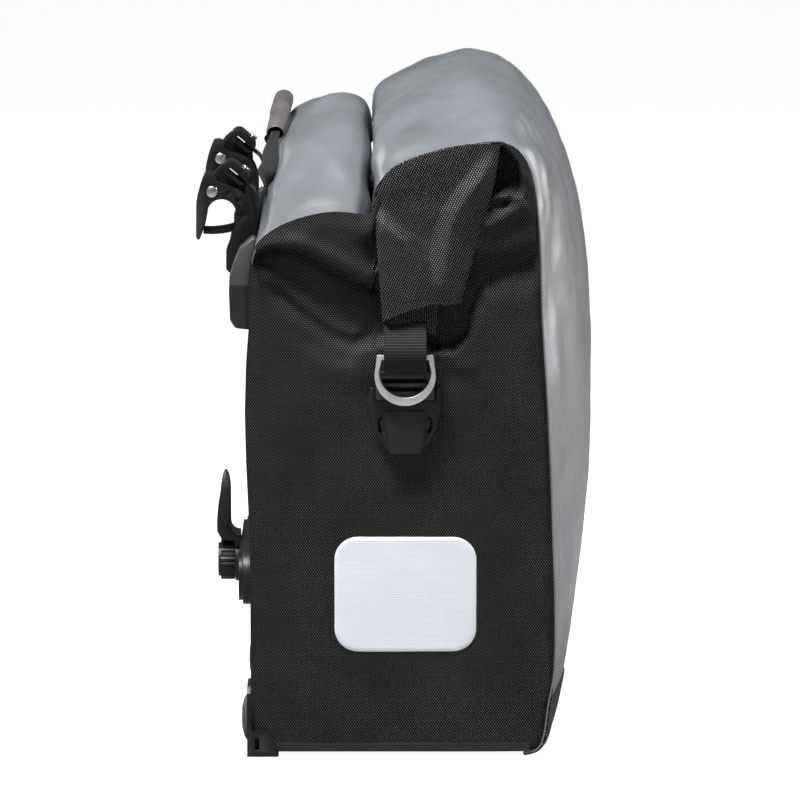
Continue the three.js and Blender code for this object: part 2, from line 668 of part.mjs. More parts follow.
// Webbing fixed in the block, running down behind the hook.
function leverStrap() {
  const slotEnds = [at(-3.6, 0, SLOT_DROP), at(8.5, 0, SLOT_DROP)];
  const [inside, mouth] = pointsOf(tilted(new THREE.BufferGeometry().setFromPoints(slotEnds)));
  const path = new THREE.CatmullRomCurve3([inside, mouth, at(18.8, 0, 14), at(20.7, 0, 9), at(21, 0, 4)]);
  const strap = ribbon(path, 12, () => at(0, 1, 0), () => WEBBING, () => WEB_THICK);
  return cut(strap, blockScrewHole());
}

function leverPin() {
  const [half, head, cap] = [HOOK_WIDTH / 2 + GAP, 3.5, 0.9];
  return turnedAboutY(
    [[0, -half - cap], [head - 0.4, -half - cap], [head, -half - cap / 2], [head, -half], [PIN.r, -half],
      [PIN.r, half], [head, half], [head, half + cap / 2], [head - 0.4, half + cap], [0, half + cap]],
    PIN.u, PIN.w, 20,
  );
}

// Torsion spring in the lever's hub, drawn as its outer shape.
function leverSpring() {
  const ring = [[2.6, 1.2], [3.9, 1.2], [3.9, 2.8], [2.6, 2.8], [2.6, 1.2]];
  return turnedAboutY(ring, PIN.u, PIN.w, 18);
}

// The nut in the rail's T-slot, which the hook's screw pulls against the rail's lips.
function clampNut() {
  const z = RAIL.z - JAW.z;
  const [x0, x1] = [TEE.lip + GAP - JAW.x, TEE.inner - GAP - JAW.x];
  return cut(box(x0, x1, -9, 9, z - TEE.nut / 2, z + TEE.nut / 2), rodX(SCREW.hole, x0 - 1, x1 + 1, 0, z));
}

add(pannier, "top_rail", topRail(), BLACK_PLASTIC);
for (const [side, mirror] of [["left", 1], ["right", -1]]) {
  const group = new THREE.Group();
  group.scale.y = mirror;
  pannier.add(group);
  add(group, `${side}_rail_cap`, railCap(), BLACK_PLASTIC);
  add(group, `${side}_top_screw`, screw(-TOP_SCREW_Y, RAIL.z, TEE.inner - 2.9, BACK + 4, 2.6), STEEL);
  const hook = new THREE.Group();
  hook.position.set(JAW.x, -HOOK_Y, JAW.z);
  group.add(hook);
  const screwX = RAIL.front - JAW.x - GAP;
  add(hook, `${side}_hook_body`, hookBody(), BLACK_PLASTIC);
  add(hook, `${side}_hook_lever`, lever(), BLACK_PLASTIC);
  add(hook, `${side}_hook_pin`, leverPin(), STEEL);
  add(hook, `${side}_lever_spring`, leverSpring(), STEEL);
  add(hook, `${side}_strap_screw`, strapScrew(), STEEL);
  add(hook, `${side}_lever_strap`, leverStrap(), BLACK_WEBBING);
  add(hook, `${side}_clamp_nut`, clampNut(), STEEL);
  const clampScrew = screw(0, RAIL.z - JAW.z, screwX - 3.4, TEE.inner - JAW.x - 0.6, 1.6);
  add(hook, `${side}_clamp_screw`, clampScrew, STEEL);
}

// ---------------------------------------------------------------- carrying handle

const GRIP = { half: 55, top: 382.5, sagitta: 14.5, x: -68, lean: 4, r: 5.5, bore: 4.1 };
const archPoint = (y) => {
  const q = (y / GRIP.half) ** 2;
  return at(GRIP.x - GRIP.lean * q, y, GRIP.top - GRIP.sagitta * q);
};

function handleGrip() {
  const path = new THREE.CatmullRomCurve3([-1, -0.5, 0, 0.5, 1].map((k) => archPoint(k * GRIP.half)));
  const ring = (r, sides) =>
    Array.from({ length: sides }, (_, i) => {
      const angle = (2 * Math.PI * i) / sides;
      return new THREE.Vector2(r * Math.cos(angle), r * Math.sin(angle));
    });
  const shape = new THREE.Shape(ring(GRIP.r, 12));
  shape.holes.push(new THREE.Path(ring(GRIP.bore, 8)));
  return new THREE.ExtrudeGeometry(shape, { extrudePath: path, steps: 14, bevelEnabled: false });
}

// One length of webbing through the grip, with both ends hanging down beside the levers' straps.
function handleStrap() {
  const down = [
    at(-77.2, -HOOK_Y, 326), at(-76.8, -HOOK_Y, 341), at(-75.6, -88, 351.5), at(-73.8, -70, 361.5),
  ];
  const arch = [-1, -0.5, 0, 0.5, 1].map((k) => archPoint(k * GRIP.half));
  const otherSide = down.toReversed().map((p) => at(p.x, -p.y, p.z));
  const path = new THREE.CatmullRomCurve3([...down, ...arch, ...otherSide], false, "centripetal");
  const folded = (t) => THREE.MathUtils.smoothstep(Math.min(t, 1 - t), 0.14, 0.27);
  return ribbon(
    path,
    44,
    (t, tangent) => new THREE.Vector3().crossVectors(tangent, at(1, 0, 0)),
    (t) => THREE.MathUtils.lerp(WEBBING, 5.6, folded(t)),
    (t) => THREE.MathUtils.lerp(WEB_THICK, 2.6, folded(t)),
  );
}

add(pannier, "handle_grip", handleGrip(), GREY_RUBBER);
add(pannier, "handle_strap", handleStrap(), BLACK_WEBBING);

// ---------------------------------------------------------------- lower rail and its turning hook

function lowerRail() {
  const { z, height, front, half, slot } = LOW_RAIL;
  const end = half - height / 2;
  const shape = new THREE.Shape();
  shape.absarc(end, z, height / 2, -Math.PI / 2, Math.PI / 2, false);
  shape.absarc(-end, z, height / 2, Math.PI / 2, 1.5 * Math.PI, false);
  const step = 2.4; // the rail's edge is stepped back, as a rounded edge
  const inner = new THREE.Shape();
  inner.absarc(end, z, height / 2 - step, -Math.PI / 2, Math.PI / 2, false);
  inner.absarc(-end, z, height / 2 - step, Math.PI / 2, 1.5 * Math.PI, false);
  const plate = join(alongX(shape, front + step, BACK - GAP), alongX(inner, front, front + step + 1));
  const holes = [-LOW_SCREW_Y, LOW_SCREW_Y].flatMap((y) => [
    rodX(SCREW.hole, front - 1, BACK, y, z),
    rodX(SCREW.head + GAP, front - 1, front + 2.8, y, z),
  ]);
  return cut(plate, ...teeSlot(front, slot, z), ...holes);
}

function lowerSlider() {
  const { z } = LOW_RAIL;
  const [x0, x1] = [TEE.lip + GAP, TEE.inner - GAP];
  return cut(box(x0, x1, -9, 9, z - TEE.nut / 2, z + TEE.nut / 2), rodX(SCREW.hole, x0 - 1, x1 + 1, 0, z));
}

const KNOB = { r: 12.3, near: BACK - 12.9, far: BACK - 23, ribs: 24 };

// The hook turns about the knob's screw: a ring against the rail, and a fin that catches the rack's stay.
function lowerHook() {
  const z = LOW_RAIL.z;
  const ring = rodX(13.4, BACK - 12.6, BACK - 9.3, 0, z);
  const fin = new THREE.Shape();
  fin.moveTo(BACK - 9.3, z + 10);
  fin.lineTo(BACK - 9.3, z + 17);
  fin.quadraticCurveTo(BACK - 15.2, z + 17.5, BACK - 15.4, z + 23);
  fin.lineTo(BACK - 15.4, z + 44);
  fin.quadraticCurveTo(BACK - 16, z + 54.5, BACK - 18.6, z + 55.5);
  fin.quadraticCurveTo(BACK - 21, z + 52.5, BACK - 21.4, z + 43.5);
  fin.quadraticCurveTo(BACK - 24, z + 31, BACK - 23.5, z + 19);
  fin.lineTo(BACK - 20.5, z + 13.6);
  fin.lineTo(BACK - 12.9, z + 13.2);
  fin.lineTo(BACK - 12.6, z + 10);
  const edge = [[12, z + 8], [13, z + 24], [9, z + 46], [4, z + 56.5]];
  const face = outline([...edge, ...edge.toReversed().map(([y, height]) => [-y, height])]);
  const profile = alongY(fin, 30);
  const wide = alongX(face, BACK - 30, BACK);
  return cut(join(ring, common(profile, wide)), rodX(SCREW.hole, BACK - 20, BACK, 0, z));
}

function lowerKnob() {
  const shape = new THREE.Shape();
  const points = KNOB.ribs * 3;
  for (let i = 0; i < points; i++) {
    const angle = (2 * Math.PI * i) / points;
    const radius = i % 3 === 0 ? KNOB.r - 0.7 : KNOB.r;
    const [y, z] = [radius * Math.cos(angle), LOW_RAIL.z + radius * Math.sin(angle)];
    if (i === 0) shape.moveTo(y, z);
    else shape.lineTo(y, z);
  }
  const grip = alongX(shape, KNOB.far + 1.6, KNOB.near);
  const face = rodX(KNOB.r - 1.8, KNOB.far, KNOB.far + 2, 0, LOW_RAIL.z);
  return cut(join(grip, face), rodX(SCREW.shank + GAP, KNOB.near - 6, KNOB.near + 1, 0, LOW_RAIL.z));
}

const lowerStud = () => rodX(SCREW.shank, KNOB.near - 5.6, TEE.inner - 0.6, 0, LOW_RAIL.z);

add(pannier, "lower_rail", lowerRail(), BLACK_PLASTIC);
add(pannier, "lower_slider", lowerSlider(), STEEL);
add(pannier, "lower_hook", lowerHook(), BLACK_PLASTIC);
add(pannier, "lower_knob", lowerKnob(), BLACK_PLASTIC);
add(pannier, "lower_stud", lowerStud(), STEEL);

// ---------------------------------------------------------------- corner guards

const GUARD = { back: BACK - 3.2, reach: 15.5, height: 42, ear: 15, foot: 2.2 };
const BUMPER = { y: -101, z: 21, r: 13.5, rise: 3.2 };

// A cup round the lower back corner: a back plate, an ear on the side, and a foot that the bag stands on.
function cornerGuard() {
  const { back, reach, height, ear, foot } = GUARD;
  const plateShape = outline([
    [-120, 0], [-88, 0], [-84.5, 4], [-84.5, 38], [-88, height], [-114, height], [-118, 38], [-118.6, 20],
    [-120, 16],
  ]);
  const plate = alongX(plateShape, back, BACK - GAP);
  const earShape = new THREE.Shape();
  earShape.moveTo(back, 0);
  earShape.lineTo(BACK + reach, 0);
  earShape.lineTo(BACK + reach - 1.5, 6);
  earShape.quadraticCurveTo(BACK + reach - 3, ear, BACK + 5, ear + 0.6);
  earShape.lineTo(back, ear + 1);
  const side = alongY(earShape, 2.4, -118.6);
  const sole = box(back, BACK + reach, -119.8, -96, 0, foot);
  const window = box(BACK + 1.4, BACK + 4.2, -122, -115, 4, 11.5);
  return cut(join(plate, side, sole), window);
}

function cornerBumper() {
  const { y, z, r, rise } = BUMPER;
  const root = GUARD.back - GAP;
  const dome = [[0, root - rise], [r * 0.45, root - rise * 0.92], [r * 0.8, root - rise * 0.6]];
  return turnedAboutX([...dome, [r, root - 0.6], [r, root], [0, root]], y, z, 24);
}

for (const [side, mirror] of [["left", 1], ["right", -1]]) {
  const group = new THREE.Group();
  group.scale.y = mirror;
  pannier.add(group);
  add(group, `${side}_corner_guard`, cornerGuard(), BLACK_PLASTIC);
  add(group, `${side}_corner_bumper`, cornerBumper(), GREY_RUBBER);
  const lowScrew = screw(-LOW_SCREW_Y, LOW_RAIL.z, LOW_RAIL.front + 0.4, BACK + 4, 2.2);
  add(group, `${side}_low_screw`, lowScrew, STEEL);
}

export default pannier;
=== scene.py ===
import json
import math

import bmesh
import bpy
import numpy as np
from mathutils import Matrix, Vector, noise


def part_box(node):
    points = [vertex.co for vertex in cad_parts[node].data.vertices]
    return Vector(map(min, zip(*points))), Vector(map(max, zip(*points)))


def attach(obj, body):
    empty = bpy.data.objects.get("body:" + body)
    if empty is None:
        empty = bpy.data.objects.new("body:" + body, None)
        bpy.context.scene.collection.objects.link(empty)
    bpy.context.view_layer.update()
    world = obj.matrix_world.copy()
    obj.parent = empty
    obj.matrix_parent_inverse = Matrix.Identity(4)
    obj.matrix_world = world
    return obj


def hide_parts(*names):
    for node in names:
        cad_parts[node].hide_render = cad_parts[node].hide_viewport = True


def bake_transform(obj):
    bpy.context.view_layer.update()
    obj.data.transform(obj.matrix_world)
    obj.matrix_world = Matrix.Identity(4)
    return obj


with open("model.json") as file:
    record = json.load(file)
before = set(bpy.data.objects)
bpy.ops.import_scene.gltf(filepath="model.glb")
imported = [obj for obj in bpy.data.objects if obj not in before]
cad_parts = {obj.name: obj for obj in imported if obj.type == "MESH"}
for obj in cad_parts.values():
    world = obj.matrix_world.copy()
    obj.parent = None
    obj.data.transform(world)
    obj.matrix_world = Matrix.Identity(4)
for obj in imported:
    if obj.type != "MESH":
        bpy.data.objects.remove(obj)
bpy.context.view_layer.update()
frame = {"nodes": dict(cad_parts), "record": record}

MM = 0.001
SIDES = (("left", 1), ("right", -1))  # the left pieces are at -Y; the right ones are their mirror images

# ---------------------------------------------------------------- driving dimensions, in millimetres
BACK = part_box("back_panel")[0].x / MM
HALF_BASE = 115.0
FLARE = 40 / 330
LEAN = math.atan(FLARE)
HEM = 3.0
BUCKLE_X = 5.4
HOOK_Y = 95.0
JAW = (BACK - 17.6, 324.4)
STRAP_WIDTH = 25.0
LEVER_STRAP_WIDTH = 15.0
STRAP_THICKNESS = 1.6
CLOTH_THICKNESS = 1.0
PROUD = 0.5  # the fabric lies this far outside the CAD panels

# The side's front and back edges, [z, x]: the contents push them out a little; the lowest corner is rounded.
FRONT_EDGE = [
    [2, 76], [3, 80], [5, 84.5], [8, 87], [12, 88.5], [20, 89.5], [30, 91], [40, 93.6], [50, 94.2],
    [80, 94.2], [130, 93], [170, 91.6], [210, 89.7], [230, 88.5], [265, 86.2], [300, 84.9], [320, 84.4],
]
BACK_EDGE = [
    [2, -84.4], [10, BACK], [120, BACK], [150, -86.4], [180, -87.6], [210, -88.2], [240, -87.3], [262, BACK],
    [300, BACK],
]
BAND_TOP = 37.0  # the black base cloth is turned up over the front to this height

# ---------------------------------------------------------------- camera, light and floor

PHOTO_ELEVATION = math.radians(8)
CAMERA_DISTANCE = 4.1
VIEW_WIDTH = 0.488  # what the frame takes in at the middle of the bag
CAMERA_TARGET = Vector((0.0024, 0.0, 0.1982))
ROOM_LIGHT = 0.08


def make_camera():
    data = bpy.data.cameras.new("camera")
    data.sensor_width = 36
    data.lens = data.sensor_width * CAMERA_DISTANCE / VIEW_WIDTH
    camera = bpy.data.objects.new("camera", data)
    bpy.context.scene.collection.objects.link(camera)
    away = Vector((0, -math.cos(PHOTO_ELEVATION), math.sin(PHOTO_ELEVATION)))
    camera.location = CAMERA_TARGET + away * CAMERA_DISTANCE
    camera.rotation_euler = (-away).to_track_quat("-Z", "Y").to_euler()
    bpy.context.scene.camera = camera


def area_light(name, place, target, size, power, tint=(1, 1, 1)):
    data = bpy.data.lights.new(name, "AREA")
    data.shape = "RECTANGLE"
    data.size, data.size_y = size
    data.energy = power
    data.color = tint
    lamp = bpy.data.objects.new(name, data)
    bpy.context.scene.collection.objects.link(lamp)
    lamp.location = place
    lamp.rotation_euler = (Vector(target) - Vector(place)).to_track_quat("-Z", "Y").to_euler()


def make_stage():
    world = bpy.data.worlds.new("studio")
    bpy.context.scene.world = world
    world.use_nodes = True
    background = world.node_tree.nodes["Background"]
    background.inputs["Color"].default_value = (1, 1, 1, 1)
    seen = world.node_tree.nodes.new("ShaderNodeMapRange")  # white behind the bag, a dimmer room around it
    seen.inputs["To Min"].default_value = ROOM_LIGHT
    seen.inputs["To Max"].default_value = 1.0
    path = world.node_tree.nodes.new("ShaderNodeLightPath")
    world.node_tree.links.new(path.outputs["Is Camera Ray"], seen.inputs["Value"])
    world.node_tree.links.new(seen.outputs["Result"], background.inputs["Strength"])
    mesh = bpy.data.meshes.new("floor")
    half = 30
    corners = [(-half, -half, 0), (half, -half, 0), (half, half, 0), (-half, half, 0)]
    mesh.from_pydata(corners, [], [(0, 1, 2, 3)])
    floor = bpy.data.objects.new("floor", mesh)
    bpy.context.scene.collection.objects.link(floor)
    pale = bpy.data.materials.new("floor")
    pale.use_nodes = True
    shader = pale.node_tree.nodes["Principled BSDF"]
    shader.inputs["Base Color"].default_value = (0.3, 0.3, 0.3, 1)
    shader.inputs["Roughness"].default_value = 0.9
    shader.inputs["Emission Color"].default_value = (1, 1, 1, 1)
    # the floor shines for the camera only, so it throws no light up at the bag
    lit = pale.node_tree.nodes.new("ShaderNodeMath")
    lit.operation = "MULTIPLY"
    lit.inputs[1].default_value = 0.93
    path = pale.node_tree.nodes.new("ShaderNodeLightPath")
    pale.node_tree.links.new(path.outputs["Is Camera Ray"], lit.inputs[0])
    pale.node_tree.links.new(lit.outputs[0], shader.inputs["Emission Strength"])
    mesh.materials.append(pale)
    middle = (0, 0, 0.22)
    area_light("key_light", (-0.45, -0.75, 1.9), middle, (0.6, 0.5), 84)
    area_light("front_light", (-0.6, -2.6, 1.0), middle, (1.0, 0.7), 3)
    area_light("right_light", (1.7, -0.3, 1.5), middle, (0.35, 0.6), 26)
    area_light("right_back_light", (1.5, 1.2, 0.6), middle, (0.6, 1.2), 14)
    area_light("left_back_light", (-1.4, 1.2, 0.7), middle, (0.8, 1.2), 11)
    bpy.context.scene.view_settings.view_transform = "Standard"


# ---------------------------------------------------------------- materials


class Shader:
    """A Principled material with short calls to make and join its nodes."""

    def __init__(self, name):
        self.material = bpy.data.materials.new(name)
        self.material.use_nodes = True
        self.tree = self.material.node_tree
        self.bsdf = self.tree.nodes["Principled BSDF"]

    def node(self, kind, **settings):
        made = self.tree.nodes.new(kind)
        for key, value in settings.items():
            setattr(made, key, value)
        return made

    def link(self, out, into):
        self.tree.links.new(out, into)

    def set(self, **values):
        for key, value in values.items():
            self.bsdf.inputs[key.replace("_", " ")].default_value = value
        return self

    def math(self, operation, a, b=None, clamp=False):
        made = self.node("ShaderNodeMath", operation=operation, use_clamp=clamp)
        for i, value in enumerate((a, b)):
            if value is None:
                continue
            if isinstance(value, (int, float)):
                made.inputs[i].default_value = value
            else:
                self.link(value, made.inputs[i])
        return made.outputs[0]

    def object_place(self):
        return self.node("ShaderNodeTexCoord").outputs["Object"]

    def cloth_place(self):
        """The cloth's own flat coordinates, in millimetres, which each fabric mesh carries."""
        split = self.node("ShaderNodeSeparateXYZ")
        self.link(self.node("ShaderNodeAttribute", attribute_name="cloth").outputs["Vector"], split.inputs[0])
        return split.outputs["X"], split.outputs["Y"]

    def noise(self, place, scale, detail=3.0, roughness=0.55):
        made = self.node("ShaderNodeTexNoise")
        made.inputs["Scale"].default_value = scale
        made.inputs["Detail"].default_value = detail
        made.inputs["Roughness"].default_value = roughness
        self.link(place, made.inputs["Vector"])
        return made.outputs["Fac"]

    def ramp(self, factor, *stops):
        made = self.node("ShaderNodeValToRGB")
        elements = made.color_ramp.elements
        while len(elements) < len(stops):
            elements.new(0.5)
        for element, (position, colour) in zip(elements, stops):
            element.position = position
            element.color = (*colour, 1) if len(colour) == 3 else colour
        self.link(factor, made.inputs["Fac"])
        return made.outputs["Color"]

    def span(self, factor, low, high):
        """The factor, from 0 to 1, stretched between low and high."""
        made = self.node("ShaderNodeMapRange")
        made.inputs["To Min"].default_value = low
        made.inputs["To Max"].default_value = high
        self.link(factor, made.inputs["Value"])
        return made.outputs["Result"]

    def mix(self, factor, a, b, blend="MIX"):
        made = self.node("ShaderNodeMix", data_type="RGBA", blend_type=blend)
        made.inputs["Factor"].default_value = 0.5
        for value, into in ((factor, made.inputs[0]), (a, made.inputs[6]), (b, made.inputs[7])):
            if isinstance(value, (int, float)):
                into.default_value = value
            elif isinstance(value, tuple):
                into.default_value = (*value, 1)
            else:
                self.link(value, into)
        return made.outputs[2]

    def raised(self, wave, gain=0.5):
        """A wave about 0 as a height from 0 to 1."""
        height = self.math("MULTIPLY_ADD", wave, gain)
        height.node.inputs[2].default_value = 0.5
        return height

    def bump(self, *layers):
        """Each layer is (height from 0 to 1, depth in millimetres); they add up."""
        normal = None
        for height, depth in layers:
            made = self.node("ShaderNodeBump")
            made.inputs["Strength"].default_value = 1
            made.inputs["Distance"].default_value = depth * MM
            self.link(height, made.inputs["Height"])
            if normal:
                self.link(normal, made.inputs["Normal"])
            normal = made.outputs["Normal"]
        self.link(normal, self.bsdf.inputs["Normal"])

    def colour(self, value):
        self.link(value, self.bsdf.inputs["Base Color"])

    def roughness(self, value):
        self.link(value, self.bsdf.inputs["Roughness"])


def grey(level, tint=0.0):
    """A linear grey from a display level, slightly blue where tint is above 0."""
    linear = ((level + 0.055) / 1.055) ** 2.4
    return (linear * (1 - tint), linear, linear * (1 + tint))


def weave_material(name, painted_glint_level):
    """Coated nylon with a coarse plain weave: raised threads with a painted glint at their tops, as light as
    painted_glint_level, and painted shade, near black, in the gaps between them.
    """
    shader = Shader(name).set(Roughness=0.6)
    shader.bsdf.inputs["Specular IOR Level"].default_value = 0.17
    across, along = shader.cloth_place()
    wobble = shader.noise(shader.object_place(), 90, 2)
    shifted = shader.math("ADD", along, shader.span(wobble, -0.35, 0.35))
    warp = shader.math("SINE", shader.math("MULTIPLY", across, math.pi / 0.76))
    weft = shader.math("SINE", shader.math("MULTIPLY", shifted, math.pi / 1.12))
    lattice = shader.math("MULTIPLY", warp, weft)
    height = shader.raised(lattice)
    # painted light and shade: thread tops painted light as glints, gaps between threads painted near black as
    # shade
    threads = shader.ramp(height, (0.5, grey(0.0)), (0.74, grey(0.04, 0.02)), (1.0, grey(painted_glint_level, 0.02)))
    patches = shader.noise(shader.object_place(), 22, 4)
    shade = shader.ramp(patches, (0.3, (0.65, 0.65, 0.65)), (0.7, (1.15, 1.15, 1.15)))
    shader.colour(shader.mix(1.0, threads, shade, "MULTIPLY"))
    shader.roughness(shader.span(height, 0.8, 0.34))
    shader.bump((height, 0.3))
    return shader.material


def smooth_weld_material():
    """Welded hems of the side fabric, pressed nearly smooth."""
    shader = Shader("pressed_weld").set(Roughness=0.5)
    along = shader.cloth_place()[1]
    lines = shader.math("SINE", shader.math("MULTIPLY", along, math.pi / 0.6))
    height = shader.raised(lines)
    patches = shader.noise(shader.object_place(), 60, 3)
    shader.colour(shader.ramp(patches, (0.3, grey(0.05)), (0.7, grey(0.09))))
    shader.roughness(shader.span(patches, 0.42, 0.62))
    shader.bump((height, 0.03), (patches, 0.12))
    return shader.material


def tarpaulin_material():
    """Grey coated tarpaulin: satin, with the base cloth's fine weave and soft dents showing through."""
    shader = Shader("tarpaulin").set(Roughness=0.4, Coat_Weight=0.32, Coat_Roughness=0.2)
    shader.bsdf.inputs["Specular IOR Level"].default_value = 0.5
    place = shader.object_place()
    across, along = shader.cloth_place()
    warp = shader.math("SINE", shader.math("MULTIPLY", across, 2 * math.pi / 1.1))
    weft = shader.math("SINE", shader.math("MULTIPLY", along, 2 * math.pi / 1.1))
    grain = shader.raised(shader.math("ADD", warp, weft), 0.25)
    dents = shader.noise(place, 26, 3, 0.5)
    creases = shader.node("ShaderNodeTexNoise", noise_type="RIDGED_MULTIFRACTAL")
    creases.inputs["Scale"].default_value = 17
    creases.inputs["Detail"].default_value = 3
    shader.link(place, creases.inputs["Vector"])
    tone = shader.noise(place, 16, 5)
    shader.colour(shader.ramp(tone, (0.3, grey(0.34, 0.08)), (0.7, grey(0.42, 0.08))))
    shader.roughness(shader.span(shader.noise(place, 60, 4), 0.3, 0.52))
    shader.bump((dents, 1.1), (creases.outputs["Fac"], 0.3), (grain, 0.035))
    return shader.material


def webbing_material(name="webbing", pitch=1.7):
    """Woven webbing, with ribs across its length and a finer twill on them."""
    shader = Shader(name).set(Roughness=0.7, Sheen_Weight=0.04, Specular_IOR_Level=0.3)
    across, along = shader.cloth_place()
    ribs = shader.math("SINE", shader.math("MULTIPLY", along, 2 * math.pi / pitch))
    ends = shader.math("SINE", shader.math("MULTIPLY", across, 2 * math.pi / 0.8))
    both = shader.math("ADD", shader.math("MULTIPLY", ribs, 1.4), shader.math("MULTIPLY", ends, 0.6))
    height = shader.raised(both, 0.25)
    # painted light and shade: the rib crests are painted lighter and the grooves between them darker
    shader.colour(shader.ramp(height, (0.2, grey(0.01)), (0.6, grey(0.04)), (0.95, grey(0.12))))
    shader.bump((height, 0.3))
    return shader.material


def plastic_material(name, low, high, roughness=0.42):
    """Moulded plastic with a fine spark-eroded grain, and edges rubbed a little lighter."""
    shader = Shader(name)
    shader.bsdf.inputs["Specular IOR Level"].default_value = 0.32
    place = shader.object_place()
    patches = shader.noise(place, 45, 4)
    base = shader.ramp(patches, (0.3, grey(low)), (0.7, grey(high)))
    edges = shader.node("ShaderNodeNewGeometry").outputs["Pointiness"]
    worn = shader.ramp(edges, (0.53, (0, 0, 0)), (0.62, (1, 1, 1)))
    shader.colour(shader.mix(worn, base, grey(high + 0.12)))
    shader.roughness(shader.span(patches, roughness - 0.07, roughness + 0.1))
    shader.bump((shader.noise(place, 1800, 2), 0.04), (shader.noise(place, 120, 2), 0.03))
    return shader.material


def cap_material(step):
    """The rail cap's plastic: black, and charcoal above a height where the insert shows."""
    shader = Shader("rail_cap_plastic").set(Roughness=0.48)
    height = shader.node("ShaderNodeSeparateXYZ")
    place = shader.object_place()
    shader.link(place, height.inputs[0])
    upper = shader.math("GREATER_THAN", height.outputs["Z"], step * MM)
    patches = shader.noise(place, 45, 4)
    black = shader.ramp(patches, (0.3, grey(0.05)), (0.7, grey(0.08)))
    charcoal = shader.ramp(patches, (0.3, grey(0.2)), (0.7, grey(0.24)))
    shader.colour(shader.mix(upper, black, charcoal))
    shader.bump((shader.noise(place, 1800, 2), 0.04), (shader.noise(place, 120, 2), 0.03))
    return shader.material


def rubber_material():
    shader = Shader("grip_rubber").set(Roughness=0.55)
    place = shader.object_place()
    patches = shader.noise(place, 70, 4)
    shader.colour(shader.ramp(patches, (0.3, (0.045, 0.04, 0.042)), (0.7, (0.08, 0.071, 0.075))))
    shader.roughness(shader.span(patches, 0.45, 0.68))
    shader.bump((shader.noise(place, 900, 3), 0.05), (shader.noise(place, 160, 2), 0.12))
    return shader.material


def metal_material(name, level, roughness):
    shader = Shader(name).set(Metallic=1.0)
    place = shader.object_place()
    scratches = shader.noise(place, 700, 3)
    smears = shader.noise(place, 80, 3)
    shader.colour(shader.ramp(smears, (0.3, grey(level - 0.06)), (0.7, grey(level))))
    shader.roughness(shader.span(smears, roughness - 0.08, roughness + 0.1))
    shader.bump((scratches, 0.02))
    return shader.material


def reflector_material():
    """Retroreflective film: pale, with fine level lines."""
    shader = Shader("reflective").set(Roughness=0.38)
    shader.bsdf.inputs["Coat Weight"].default_value = 0.2
    along = shader.cloth_place()[1]
    lines = shader.math("SINE", shader.math("MULTIPLY", along, 2 * math.pi / 1.5))
    height = shader.raised(lines)
    patches = shader.noise(shader.object_place(), 35, 3)
    film = shader.ramp(height, (0.0, (0.8, 0.84, 0.9)), (1.0, (0.86, 0.89, 0.94)))
    shade = shader.ramp(patches, (0.3, (0.97, 0.97, 0.97)), (0.7, (1.03, 1.03, 1.03)))
    shader.colour(shader.mix(1.0, film, shade, "MULTIPLY"))
    shader.bump((height, 0.03), (patches, 0.25))
    return shader.material


make_camera()
make_stage()
WEAVE = weave_material("side_weave", 0.5)
FLAP_WEAVE_PAINTED_HIGHLIGHT = weave_material("flap_weave_painted_highlight", 0.66)  # painted highlight: a lighter copy of the side weave, standing in for the light that the roll's ends catch
WELD = smooth_weld_material()
TARPAULIN = tarpaulin_material()
WEBBING = webbing_material()
PLASTIC = plastic_material("black_plastic", 0.02, 0.045)
DARK_GREY_PLASTIC = plastic_material("charcoal_plastic", 0.15, 0.19, 0.5)
CAP_PLASTIC = cap_material(286)
RUBBER = rubber_material()
STEEL = metal_material("steel", 0.86, 0.26)
RING_METAL = metal_material("ring_metal", 0.87, 0.42)
REFLECTIVE = reflector_material()

# ---------------------------------------------------------------- curves and surfaces


def spline(points, at):
    """Catmull-Rom through points, at numbers from 0 to 1, with an equal span for each pair of points."""
    points = np.array(points, float)
    last = len(points) - 1
    at = np.clip(np.asarray(at, float), 0, 1) * last
    i = np.minimum(at.astype(int), last - 1)
    t = (at - i)[..., None]
    before = points[np.maximum(i - 1, 0)]
    after = points[np.minimum(i + 2, last)]
    a, b = points[i], points[i + 1]
    bend = 2 * before - 5 * a + 4 * b - after
    return a + 0.5 * t * (b - before + t * (bend + t * (3 * (a - b) + after - before)))


def even(points, count):
    """count points evenly spaced along the spline through points."""
    fine = spline(points, np.linspace(0, 1, 600))
    length = np.concatenate([[0], np.cumsum(np.linalg.norm(np.diff(fine, axis=0), axis=1))])
    wanted = np.linspace(0, length[-1], count)
    return np.stack([np.interp(wanted, length, fine[:, k]) for k in range(fine.shape[1])], axis=1)


def smoothstep(x, low, high):
    t = np.clip((x - low) / (high - low), 0, 1)
    return t * t * (3 - 2 * t)


def to_line(x, z, line):
    """Distance from points to a bent line, and how far along it the nearest point is, from 0 to 1."""
    best = np.full(np.shape(x), 1e9)
    where = np.zeros(np.shape(x))
    line = np.array(line, float)
    pieces = len(line) - 1
    for i in range(pieces):
        a, d = line[i], line[i + 1] - line[i]
        t = np.clip(((x - a[0]) * d[0] + (z - a[1]) * d[1]) / (d @ d), 0, 1)
        distance = np.hypot(x - a[0] - t * d[0], z - a[1] - t * d[1])
        nearer = distance < best
        best = np.where(nearer, distance, best)
        where = np.where(nearer, (i + t) / pieces, where)
    return best, where


def fold(x, z, line, width, height, fade=0.18):
    """Height of a rounded fold along a line, or of a crease if negative; it dies away at both ends."""
    distance, where = to_line(x, z, line)
    ends = smoothstep(where, 0, fade) * smoothstep(1 - where, 0, fade) if fade else 1
    return height * np.exp(-((distance / width) ** 2)) * ends


def rough(points, scale, seed):
    """Smooth random numbers about 0 at each point, the same each run."""
    shift = Vector((seed * 7.31, seed * 3.17, seed * 5.53))
    flat = points.reshape(-1, 3)
    values = [noise.noise(Vector(p) / scale + shift) for p in flat]
    return np.array(values).reshape(points.shape[:-1])


def normals_of(grid):
    """Unit normals of a grid of points, from the directions of its rows and columns."""
    du = np.gradient(grid, axis=1)
    dv = np.gradient(grid, axis=0)
    n = np.cross(du, dv)
    return n / np.maximum(np.linalg.norm(n, axis=2, keepdims=True), 1e-9)


